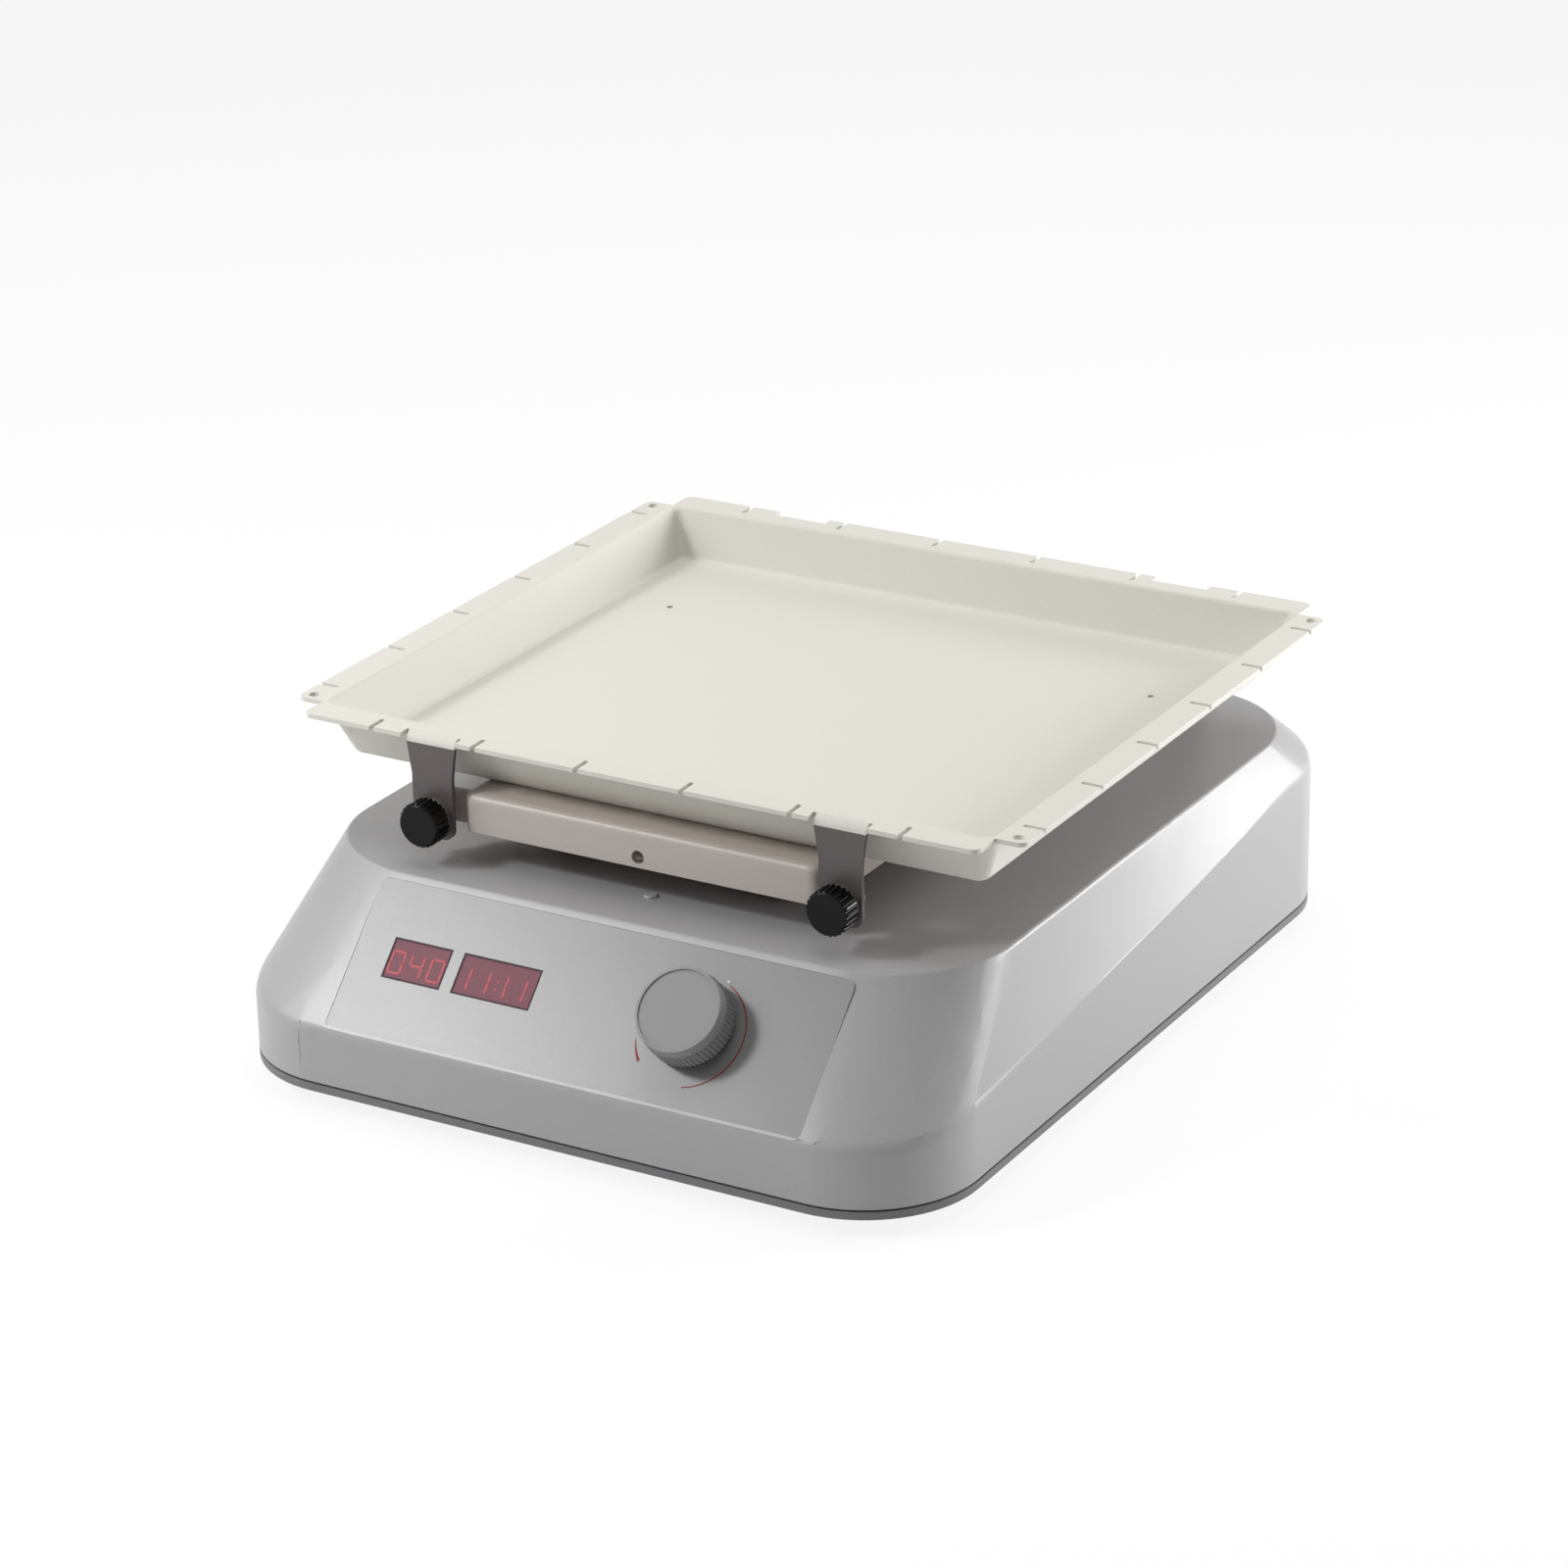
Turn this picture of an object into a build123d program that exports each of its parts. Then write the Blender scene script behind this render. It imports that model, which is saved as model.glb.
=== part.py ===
from build123d import *
import os
from math import cos, hypot, radians, sin, sqrt

# Bench orbital shaker. The floor is z = 0, the operator stands at -Y, and the origin is under the
# middle of the base. The shaker rests with its cranks pointing to the back.

# Base plate and feet
base_width = 341
base_depth = 409
base_corner_radius = 51
base_plate_thickness = 3.5
foot_height = 8
foot_margin_x = 45.5
foot_margin_y = 54.5
foot_radius = 14
foot_chamfer = 1.5
foot_recess_radius = 5
foot_recess_depth = 4
vent_margin = 62.5
vent_count = 6
vent_pitch = 8
vent_length = 46
vent_width = 3

# Housing: a straight band up to a crease that rises to the back, then four slopes to the flat top
housing_height = 79.7
housing_wall = 3.5
crease_front_height = 26
crease_rear_height = 67.5
top_front_inset = 52.2
top_rear_inset = 7.7
top_side_inset = 12.7
top_corner_radius = 54
top_edge_fillet = 2
shadow_gap_height = 1
shadow_gap_depth = 1.5
joint_overlap = 0.5
plug_y = -125.5
plug_hole_radius = 2
plug_radius = 2.9
plug_height = 1.2

# Orbit drive: the middle crank is driven, three idler cranks keep the carrier from turning
orbit_radius = 9.5
drive_axis_y = 12.5
idler_margin = 18
idler_side_y = -88
idler_rear_y = 104
crank_hub_radius = 20
crank_hub_bottom = 76
crank_hub_top = 95
crank_pin_radius = 6
crank_pin_end_gap = 1.9
crank_edge_chamfer = 1
drive_shaft_radius = 8.5
idler_shaft_radius = 6
shaft_floor_gap = 1
shaft_shoulder = 2
running_gap = 0.05
seal_gap = 0.1
seal_radius = 25
seal_flange = 3
seal_flange_thickness = 1.5

# Ball bearings: outer radius and width
drive_bearing_radius = 17.5
drive_bearing_width = 10
small_bearing_radius = 14
small_bearing_width = 8
bearing_ring = 2.5
bearing_shield_depth = 0.6

# Bearing towers on the base plate
drive_tower_radius = 24
drive_tower_top = 60
drive_flange_radius = 43
idler_tower_radius = 19
idler_tower_top = 73
idler_flange_radius = 32
tower_flange_thickness = 6
bearing_seat_depth = 2
bearing_step = 2.5
drive_bolt_circle = 36
drive_bolt_count = 4
idler_bolt_circle = 26
idler_bolt_count = 3

# Belt drive
motor_margin = 72.5
motor_y = 75
motor_radius = 32
motor_height = 43
motor_wall = 2.5
motor_rotor_radius = 21
motor_air_gap = 0.5
motor_end_gap = 3
motor_shaft_radius = 4
motor_shaft_boss = 9
motor_plate_width = 76
motor_plate_thickness = 3
motor_post_spacing = 64
motor_post_radius = 4
motor_screw_circle = 24
motor_bolt_length = 12
motor_screw_length = 5.5
motor_head_radius = 3.8
motor_head_height = 1.6
motor_shaft_tip = 1.5
drive_pulley_radius = 60
motor_pulley_radius = 12
pulley_width = 14
pulley_flange = 3
pulley_flange_thickness = 1.2
pulley_rim = 5
pulley_web = 5
pulley_hub_radius = 27
pulley_hole_radius = 10
pulley_hole_circle = 41
pulley_hole_count = 6
belt_width = 10
belt_thickness = 2
belt_gap = 0.3

# Counterweight on the drive pulley, opposite the crank pin
weight_radius = 56
weight_ring_radius = 27
weight_thickness = 10
weight_angle = 150
weight_bolt_circle = 41
weight_bolt_angle = 30

# Carrier: an inverted sheet pan that rides on the four crank pins
carrier_width = 174
carrier_length = 306
carrier_depth = 17.2
carrier_gap = 14.5
carrier_sheet = 2.5
carrier_corner_radius = 6
carrier_bend_radius = 4
carrier_front_hole_radius = 3
carrier_front_hole_drop = 12.5
cup_radius = 17
cup_flange_radius = 23
cup_flange_thickness = 2.5
cup_seat_top = 3.4
cup_lip = 1.1
clamp_bar_thickness = 3
clamp_bar_setback = 6.5
clamp_bar_height = 14.2
clamp_bar_end = 2
clamp_bush_radius = 5.5

# Tray: one folded sheet with walls leaning out, loose lips and four tabs bent down
tray_sheet = 2
tray_inner_width = 321.6
tray_inner_depth = 288.9
tray_depth = 24.5
tray_wall_lean = 9.5
tray_corner_radius = 4
tray_floor_bend = 3
tray_rim_bend = 2
lip_width = 14.5
lip_end_x = 162
lip_end_y = 144
lip_end_radius = 4
notch_pitch = 50.8
notch_count = 6
notch_width = 2.4
notch_length = 9.5
lip_hole_radius = 2.5
lip_hole_x = 170
lip_hole_y = 139
floor_hole_radius = 1.6
floor_hole_x = 123
floor_hole_y = 76
tab_margin = 11.5
tab_width = 24
tab_lower_width = 20
tab_length = 46
tab_taper_length = 18
tab_reach = 157
tab_bend_radius = 4
tab_relief_width = 1.8
tab_relief_depth = 5.5
tab_end_radius = 5

# Thumb screws that clamp the tray's tabs to the carrier
thumb_screw_drop = 36.5
thumb_radius = 10
thumb_height = 9
thumb_collar_radius = 5.5
thumb_collar_height = 2
thumb_washer_thickness = 1
thumb_washer_radius = 8
thumb_screw_radius = 3
thumb_flute_count = 24
thumb_flute_radius = 0.8
thumb_chamfer = 1.2
thumb_screw_tail = 1
screw_hole_clearance = 0.3

# Front panel, with places measured on the slope: across, and up from the crease
panel_x = 2.5
panel_margin = 56.2
panel_height = 70.3
panel_thickness = 0.8
panel_recess = 1
panel_corner_radius = 4
panel_bottom_margin = 1.3
display_height = 18.4
display_rise = 37.6
speed_display_margin = 31.5
speed_display_width = 29.1
time_display_width = 38.6
display_pitch = 39.3
window_flange = 1.2
window_setback = 0.2
knob_margin = 63.4
knob_rise = 38.8
knob_radius = 19.5
knob_face_radius = 18.7
knob_height = 14
knob_lift = 2.5
knob_flute_count = 60
knob_flute_radius = 0.6
knob_flute_height = 8.5
knob_step = 0.5
knob_rim = 1.2
knob_rim_fillet = 0.5
knob_face_recess = 0.6
knob_recess_radius = 9
knob_recess_depth = 4
knob_bore_depth = 11
encoder_size = 12
encoder_body_height = 6.5
encoder_shaft_radius = 3
encoder_bush_radius = 4.5
encoder_nut_radius = 7
encoder_nut_height = 2.2
encoder_push_travel = 0.6
plunger_radius = 4
plunger_thickness = 1.5
plunger_lift = 2.5
spigot_radius = 1.5
display_margin = 1
control_board_depth = 13
control_board_margin = 19.3
control_board_shift = -12.5
control_board_height = 50
control_board_rise = 37
control_post_margin = 7
control_post_spacing_y = 40
control_post_radius = 3.5
board_thickness = 1.6

# Back panel with the mains inlet and the power switch
rear_opening_width = 108
rear_opening_height = 34
rear_opening_radius = 4
rear_panel_overlap = 6
rear_panel_thickness = 2
rear_panel_margin = 120.5
rear_panel_z = 44
inlet_shift = -27
inlet_width = 27
inlet_height = 19.6
inlet_depth = 20
inlet_wall = 1.4
inlet_flange_width = 50
inlet_flange_height = 24
inlet_flange_thickness = 2.4
inlet_screw_spacing = 40
inlet_cavity_depth = 17
inlet_pin_length = 15
inlet_pin_width = 4
inlet_pin_thickness = 2
inlet_pin_spacing = 14
inlet_pin_rise = 3
inlet_pin_drop = 1
inlet_corner = 4
inlet_tab_length = 7
switch_shift = 28
switch_width = 22
switch_height = 29
switch_depth = 18
switch_bezel = 2
rocker_width = 16.4
rocker_radius = 10.8
rocker_gap = 0.3
rocker_tilt = 8
rocker_waist = 5
rocker_back = 3
rocker_axle_radius = 1.5
rocker_axle_length = 1.5
switch_cavity_depth = 13
terminal_width = 6.3
terminal_thickness = 0.8
terminal_length = 8
terminal_spacing = 11

# Power supply board
power_board_width = 88
power_board_depth = 108
power_board_margin_x = 66.5
power_board_margin_y = 100.5
power_board_lift = 8
power_post_spacing_x = 76
power_post_spacing_y = 96
power_post_radius = 3.5
transformer_width = 48
transformer_depth = 40
transformer_height = 34
transformer_core = 16
capacitor_radius = 9
capacitor_height = 26
capacitor_pitch = 21
heat_sink_height = 30
heat_sink_length = 50
heat_sink_fin = 2
heat_sink_pitch = 5
heat_sink_fin_count = 4
transformer_winding = 30
transformer_shift = (-18, -26)
capacitor_shift = (22, 8)
heat_sink_shift = (-24, 24)
# Screws
case_screw_radius = 2
case_boss_radius = 6
case_boss_height = 15
bolt_radius = 2.5
bolt_head_radius = 4.2
bolt_head_height = 4
small_screw_radius = 1.5
small_head_radius = 2.8
small_head_height = 2
small_screw_length = 6
side_boss_margin = 99.5
end_boss_margin = 52.5
# Places that follow the base, the panel, the carrier and the power board
foot_spacing_x = base_width - 2 * foot_margin_x
foot_spacing_y = base_depth - 2 * foot_margin_y
vent_x = base_width / 2 - vent_margin
side_boss_y = base_depth / 2 - side_boss_margin
end_boss_x = base_width / 2 - end_boss_margin
motor_x = base_width / 2 - motor_margin
idler_side_x = carrier_width / 2 - cup_flange_radius - idler_margin
tab_x = carrier_width / 2 + tab_margin
clamp_bar_half_length = tab_x + clamp_bar_end
panel_width = base_width - 2 * panel_margin
knob_x = panel_x + panel_width / 2 - knob_margin
speed_display_x = panel_x - panel_width / 2 + speed_display_margin
time_display_x = speed_display_x + display_pitch
control_board_width = panel_width - 2 * control_board_margin
control_board_x = panel_x + control_board_shift
control_post_spacing_x = control_board_width - 2 * control_post_margin
rear_panel_x = rear_panel_margin - base_width / 2
inlet_x = rear_panel_x + inlet_shift
switch_x = rear_panel_x + switch_shift
power_board_x = power_board_margin_x - base_width / 2
power_board_y = base_depth / 2 - power_board_margin_y
transformer_place = (power_board_x + transformer_shift[0], power_board_y + transformer_shift[1])
capacitor_place = (power_board_x + capacitor_shift[0], power_board_y + capacitor_shift[1])
heat_sink_place = (power_board_x + heat_sink_shift[0], power_board_y + heat_sink_shift[1])

plate_top = foot_height + base_plate_thickness
housing_top = plate_top + housing_height
carrier_bottom = housing_top + carrier_gap
carrier_top = carrier_bottom + carrier_depth
tray_top = carrier_top + tray_depth
tray_y = drive_axis_y + orbit_radius
thumb_z = tray_top - thumb_screw_drop
idler_places = [
    (-idler_side_x, drive_axis_y + idler_side_y),
    (idler_side_x, drive_axis_y + idler_side_y),
    (0, drive_axis_y + idler_rear_y),
]
crank_places = [(0, drive_axis_y)] + idler_places
pin_places = [(x, y + orbit_radius) for x, y in crank_places]
crank_pin_top = carrier_top - carrier_sheet - crank_pin_end_gap
carrier_bearing_top = carrier_top - cup_seat_top - carrier_sheet
shaft_bottom = plate_top + shaft_floor_gap
drive_bearing_low = plate_top + bearing_seat_depth
drive_bearing_high = drive_tower_top - bearing_seat_depth - drive_bearing_width
idler_bearing_high = idler_tower_top - bearing_seat_depth - small_bearing_width
pulley_bottom = crank_hub_bottom - pulley_width
motor_top = pulley_bottom - 2 - motor_plate_thickness
motor_bottom = motor_top - motor_height
belt_bottom = pulley_bottom + (pulley_width - belt_width) / 2
bar_y = carrier_length / 2 - clamp_bar_setback - clamp_bar_thickness / 2
bar_level = carrier_top - carrier_sheet - clamp_bar_height / 2
rocker_axis_y = base_depth / 2 - housing_wall + switch_bezel - rocker_waist
inlet_pin_places = [
    (-inlet_pin_spacing / 2, -inlet_pin_drop),
    (inlet_pin_spacing / 2, -inlet_pin_drop),
    (0, inlet_pin_rise),
]
bar_places = [(0, tray_y - bar_y), (0, tray_y + bar_y)]
side_boss_x = base_width / 2 - housing_wall - case_boss_radius + 1
end_boss_y = base_depth / 2 - housing_wall - case_boss_radius + 1
board_top = plate_top + power_board_lift + board_thickness

slope_run = top_front_inset
slope_rise = housing_height - crease_front_height
slope_length = hypot(slope_run, slope_rise)
slope = Plane(
    origin=(0, -base_depth / 2 + slope_run / 2, plate_top + crease_front_height + slope_rise / 2),
    x_dir=(1, 0, 0),
    z_dir=(0, -slope_rise, slope_run),
)


def on_slope(across, up, out=0.0):
    """Plane on the front slope, at a place across it and up from the crease, lifted out of it."""
    place = slope.origin + slope.x_dir * across + slope.y_dir * (up - slope_length / 2) + slope.z_dir * out
    return Plane(origin=place, x_dir=slope.x_dir, z_dir=slope.z_dir)


def crease_drop(rise, run, inset):
    """Height that a slope's lower edge loses when the slope and the wall below it move in."""
    pitch = rise / run
    return inset * (sqrt(1 + pitch**2) - pitch)


def edge_shift(rise, run, inset):
    """Distance that a slope's upper edge moves in when the slope and the top move in."""
    pitch = rise / run
    return inset * (sqrt(1 + pitch**2) - 1) / pitch


def housing_form(inset):
    """Solid outer form of the housing, or the same form moved in by its wall."""
    width = base_width - 2 * inset
    depth = base_depth - 2 * inset
    side_rise = housing_height - (crease_front_height + crease_rear_height) / 2
    rear_rise = housing_height - crease_rear_height
    front_crease = crease_front_height - crease_drop(slope_rise, slope_run, inset)
    rear_crease = crease_rear_height - crease_drop(rear_rise, top_rear_inset, inset)
    half_top = base_width / 2 - top_side_inset - edge_shift(side_rise, top_side_inset, inset)
    front_edge = -base_depth / 2 + top_front_inset + edge_shift(slope_rise, slope_run, inset)
    rear_edge = base_depth / 2 - top_rear_inset - edge_shift(rear_rise, top_rear_inset, inset)
    crease_plane = Plane(
        origin=(0, -depth / 2, plate_top + front_crease),
        x_dir=(1, 0, 0),
        z_dir=(0, front_crease - rear_crease, depth),
    )
    with BuildSketch(Plane.XY.offset(housing_top - inset)) as top_outline:
        with Locations((0, (front_edge + rear_edge) / 2)):
            RectangleRounded(2 * half_top, rear_edge - front_edge, top_corner_radius - inset)
    with BuildPart() as form:
        with BuildSketch(Plane.XY.offset(plate_top)):
            RectangleRounded(width, depth, base_corner_radius - inset)
        extrude(amount=housing_height)
        split(bisect_by=crease_plane, keep=Keep.BOTTOM)
        crease_face = form.faces().sort_by(Axis.Z)[-1]
        loft(sections=[crease_face, top_outline.sketch.face()], ruled=True)
    return form.part


def ring_places(centres, radius, count, start=0.0):
    """Places spread evenly on a circle round each centre."""
    places = []
    for x, y in centres:
        for step in range(count):
            angle = radians(start + 360 * step / count)
            places.append((x + radius * cos(angle), y + radius * sin(angle)))
    return places


def corner_places(x, y, spacing_x, spacing_y):
    """The four corners of a rectangle round a place."""
    return [(x + i * spacing_x / 2, y + j * spacing_y / 2) for i in (-1, 1) for j in (-1, 1)]


foot_places = corner_places(0, 0, foot_spacing_x, foot_spacing_y)
case_screw_places = corner_places(0, 0, 2 * side_boss_x, 2 * side_boss_y)
case_screw_places += corner_places(0, 0, 2 * end_boss_x, 2 * end_boss_y)
drive_bolt_places = ring_places(crank_places[:1], drive_bolt_circle, drive_bolt_count, 45)
idler_bolt_places = ring_places(idler_places, idler_bolt_circle, idler_bolt_count, 90)
weight_bolt_places = [
    ring_places(crank_places[:1], weight_bolt_circle, 1, 270 + turn)[0]
    for turn in (-weight_bolt_angle, weight_bolt_angle)
]
motor_post_places = corner_places(motor_x, motor_y, motor_post_spacing, motor_post_spacing)
motor_screw_places = ring_places([(motor_x, motor_y)], motor_screw_circle, 4)
power_post_places = corner_places(
    power_board_x, power_board_y, power_post_spacing_x, power_post_spacing_y
)
control_post_places = corner_places(0, 0, control_post_spacing_x, control_post_spacing_y)
rear_screw_places = corner_places(
    rear_panel_x,
    rear_panel_z,
    rear_opening_width + rear_panel_overlap,
    rear_opening_height + rear_panel_overlap,
)


def screws(places, level, radius, length, head_radius, head_height):
    """Cap screws pointing down, with their heads standing on one level and a socket in each head."""
    with BuildPart() as group:
        with BuildSketch(Plane.XY.offset(level)):
            with Locations(*places):
                Circle(head_radius)
        extrude(amount=head_height)
        with BuildSketch(Plane.XY.offset(level + head_height)):
            with Locations(*places):
                RegularPolygon(head_radius * 0.6, 6)
        extrude(amount=-head_height / 2, mode=Mode.SUBTRACT)
        with BuildSketch(Plane.XY.offset(level)):
            with Locations(*places):
                Circle(radius)
        extrude(amount=-length)
    return group.part


def bearings(places, bore, radius, width, bottom):
    """Ball bearings standing on one level, with a recessed shield on both faces."""
    with BuildPart() as rings:
        with BuildSketch(Plane.XY.offset(bottom)):
            with Locations(*places):
                Circle(radius)
                Circle(bore, mode=Mode.SUBTRACT)
        extrude(amount=width)
        with BuildSketch(Plane.XY.offset(bottom), Plane.XY.offset(bottom + width - bearing_shield_depth)):
            with Locations(*places):
                Circle(radius - bearing_ring)
                Circle(bore + bearing_ring, mode=Mode.SUBTRACT)
        extrude(amount=bearing_shield_depth, mode=Mode.SUBTRACT)
    return rings.part


def tower(places, flange_radius, tube_radius, top, bearing_radius, bearing_width, bolt_places):
    """Bearing towers: a bolted flange and a tube with a bearing seat at each end of its bore."""
    seat = bearing_seat_depth + bearing_width
    with BuildPart() as stand:
        with BuildSketch(Plane.XY.offset(plate_top)):
            with Locations(*places):
                Circle(flange_radius)
            with Locations(*bolt_places):
                Circle(bolt_radius + screw_hole_clearance, mode=Mode.SUBTRACT)
        extrude(amount=tower_flange_thickness)
        with BuildSketch(Plane.XY.offset(plate_top)):
            with Locations(*places):
                Circle(tube_radius)
        extrude(amount=top - plate_top)
        with BuildSketch(Plane.XY.offset(plate_top)):
            with Locations(*places):
                Circle(bearing_radius - bearing_step)
        extrude(amount=top - plate_top, mode=Mode.SUBTRACT)
        with BuildSketch(Plane.XY.offset(plate_top), Plane.XY.offset(top - seat)):
            with Locations(*places):
                Circle(bearing_radius + running_gap)
        extrude(amount=seat, mode=Mode.SUBTRACT)
    return stand.part


def crank(place, shaft_radius, shoulder_bottom, shoulder_top):
    """Crank: a shaft with a shoulder, a hub, and a pin standing off the shaft's axis."""
    x, y = place
    with BuildPart() as shaft:
        with BuildSketch(Plane.XY.offset(shaft_bottom)):
            with Locations((x, y)):
                Circle(shaft_radius)
        extrude(amount=crank_hub_bottom - shaft_bottom)
        with BuildSketch(Plane.XY.offset(shoulder_bottom)):
            with Locations((x, y)):
                Circle(shaft_radius + shaft_shoulder)
        extrude(amount=shoulder_top - shoulder_bottom)
        with BuildSketch(Plane.XY.offset(crank_hub_bottom)):
            with Locations((x, y)):
                Circle(crank_hub_radius)
        extrude(amount=crank_hub_top - crank_hub_bottom)
        chamfer(shaft.faces().sort_by(Axis.Z)[-1].edges(), crank_edge_chamfer)
        with BuildSketch(Plane.XY.offset(crank_hub_top)):
            with Locations((x, y + orbit_radius)):
                Circle(crank_pin_radius)
        extrude(amount=crank_pin_top - crank_hub_top)
        chamfer(shaft.faces().sort_by(Axis.Z)[-1].edges(), crank_edge_chamfer)
    return shaft.part


def pulley(place, radius, bore):
    """Flat belt pulley with a flange at each end of its rim, hollowed to a web and a hub if it is large."""
    x, y = place
    with BuildPart() as wheel:
        with BuildSketch(Plane.XY.offset(pulley_bottom)):
            with Locations((x, y)):
                Circle(radius)
        extrude(amount=pulley_width)
        flange_levels = (pulley_bottom, pulley_bottom + pulley_width - pulley_flange_thickness)
        with BuildSketch(*[Plane.XY.offset(level) for level in flange_levels]):
            with Locations((x, y)):
                Circle(radius + pulley_flange)
        extrude(amount=pulley_flange_thickness)
        with BuildSketch(Plane.XY.offset(pulley_bottom)):
            with Locations((x, y)):
                Circle(bore + running_gap)
        extrude(amount=pulley_width, mode=Mode.SUBTRACT)
    return wheel.part


def belt_outline(margin):
    """Outline round both pulleys, a margin off their rims."""
    with BuildSketch() as outline:
        with Locations((0, drive_axis_y)):
            Circle(drive_pulley_radius + margin)
        with Locations((motor_x, motor_y)):
            Circle(motor_pulley_radius + margin)
        make_hull()
    return outline.sketch


def tray_tab(side_x, side_y):
    """Tab bent down from the front or back lip of the tray, with its screw hole."""
    outer = tray_y + side_y * tab_reach
    root = outer - side_y * (tab_bend_radius + tab_relief_depth)
    low = tray_top - tab_length
    inside_corner = (outer - side_y * tray_sheet, tray_top - tray_sheet)
    with BuildPart() as tab:
        with BuildSketch(Plane.YZ.offset(side_x - tab_width / 2)) as bend:
            with Locations(((root + outer) / 2, tray_top - tray_sheet / 2)):
                Rectangle(abs(outer - root), tray_sheet)
            with Locations((outer - side_y * tray_sheet / 2, (low + tray_top) / 2)):
                Rectangle(tray_sheet, tab_length)
            fillet(bend.vertices().sort_by_distance((outer, tray_top))[0], tab_bend_radius)
            fillet(bend.vertices().sort_by_distance(inside_corner)[0], tab_bend_radius - tray_sheet)
        extrude(amount=tab_width)
        with BuildSketch(Plane.XZ.offset(-outer)) as front:
            with BuildLine():
                Polyline(
                    (side_x - tab_width / 2, tray_top),
                    (side_x + tab_width / 2, tray_top),
                    (side_x + tab_width / 2, tray_top - tab_bend_radius),
                    (side_x + tab_lower_width / 2, tray_top - tab_taper_length),
                    (side_x + tab_lower_width / 2, low),
                    (side_x - tab_lower_width / 2, low),
                    (side_x - tab_lower_width / 2, tray_top - tab_taper_length),
                    (side_x - tab_width / 2, tray_top - tab_bend_radius),
                    close=True,
                )
            make_face()
            fillet(front.vertices().group_by(Axis.Y)[0], tab_end_radius)
            with Locations((side_x, thumb_z)):
                Circle(thumb_screw_radius + screw_hole_clearance, mode=Mode.SUBTRACT)
        extrude(amount=tab_bend_radius + tab_relief_depth, both=True, mode=Mode.INTERSECT)
    return tab.part


def thumb_plane(side_x, side_y, out):
    """Plane across a thumb screw, facing away from the tray and a distance off the tab."""
    return Plane(
        origin=(side_x * tab_x, tray_y + side_y * (tab_reach + out), thumb_z),
        x_dir=(1, 0, 0),
        z_dir=(0, side_y, 0),
    )


def back_plane(x, z, out=0.0):
    """Plane facing the back, at a place on the housing's back wall and a distance outside it."""
    return Plane(origin=(x, base_depth / 2 + out, z), x_dir=(-1, 0, 0), z_dir=(0, 1, 0))


os.makedirs("parts", exist_ok=True)

# Base plate
with BuildPart() as base_plate:
    with BuildSketch(Plane.XY.offset(foot_height)):
        RectangleRounded(base_width, base_depth, base_corner_radius)
        with Locations(*case_screw_places, *foot_places):
            Circle(case_screw_radius + running_gap, mode=Mode.SUBTRACT)
        with Locations((-vent_x, 0), (vent_x, 0)):
            with GridLocations(0, vent_pitch, 1, vent_count):
                SlotOverall(vent_length, vent_width, mode=Mode.SUBTRACT)
    extrude(amount=base_plate_thickness)
    with BuildSketch(Plane.XY.offset(foot_height)):
        with Locations(*drive_bolt_places, *idler_bolt_places):
            Circle(bolt_radius + running_gap)
    extrude(amount=base_plate_thickness, mode=Mode.SUBTRACT)
base_plate.part.label = "base_plate"
export_step(base_plate.part, "parts/base_plate.step")

# Rubber feet with a recess for the screw head
with BuildPart() as rubber_feet:
    with BuildSketch():
        with Locations(*foot_places):
            Circle(foot_radius)
    extrude(amount=foot_height)
    chamfer(rubber_feet.faces().group_by(Axis.Z)[0].edges(), foot_chamfer)
    with BuildSketch():
        with Locations(*foot_places):
            Circle(foot_recess_radius)
    extrude(amount=foot_recess_depth, mode=Mode.SUBTRACT)
    with BuildSketch():
        with Locations(*foot_places):
            Circle(case_screw_radius + running_gap)
    extrude(amount=foot_height, mode=Mode.SUBTRACT)
rubber_feet.part.label = "rubber_feet"
export_step(rubber_feet.part, "parts/rubber_feet.step")

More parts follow.
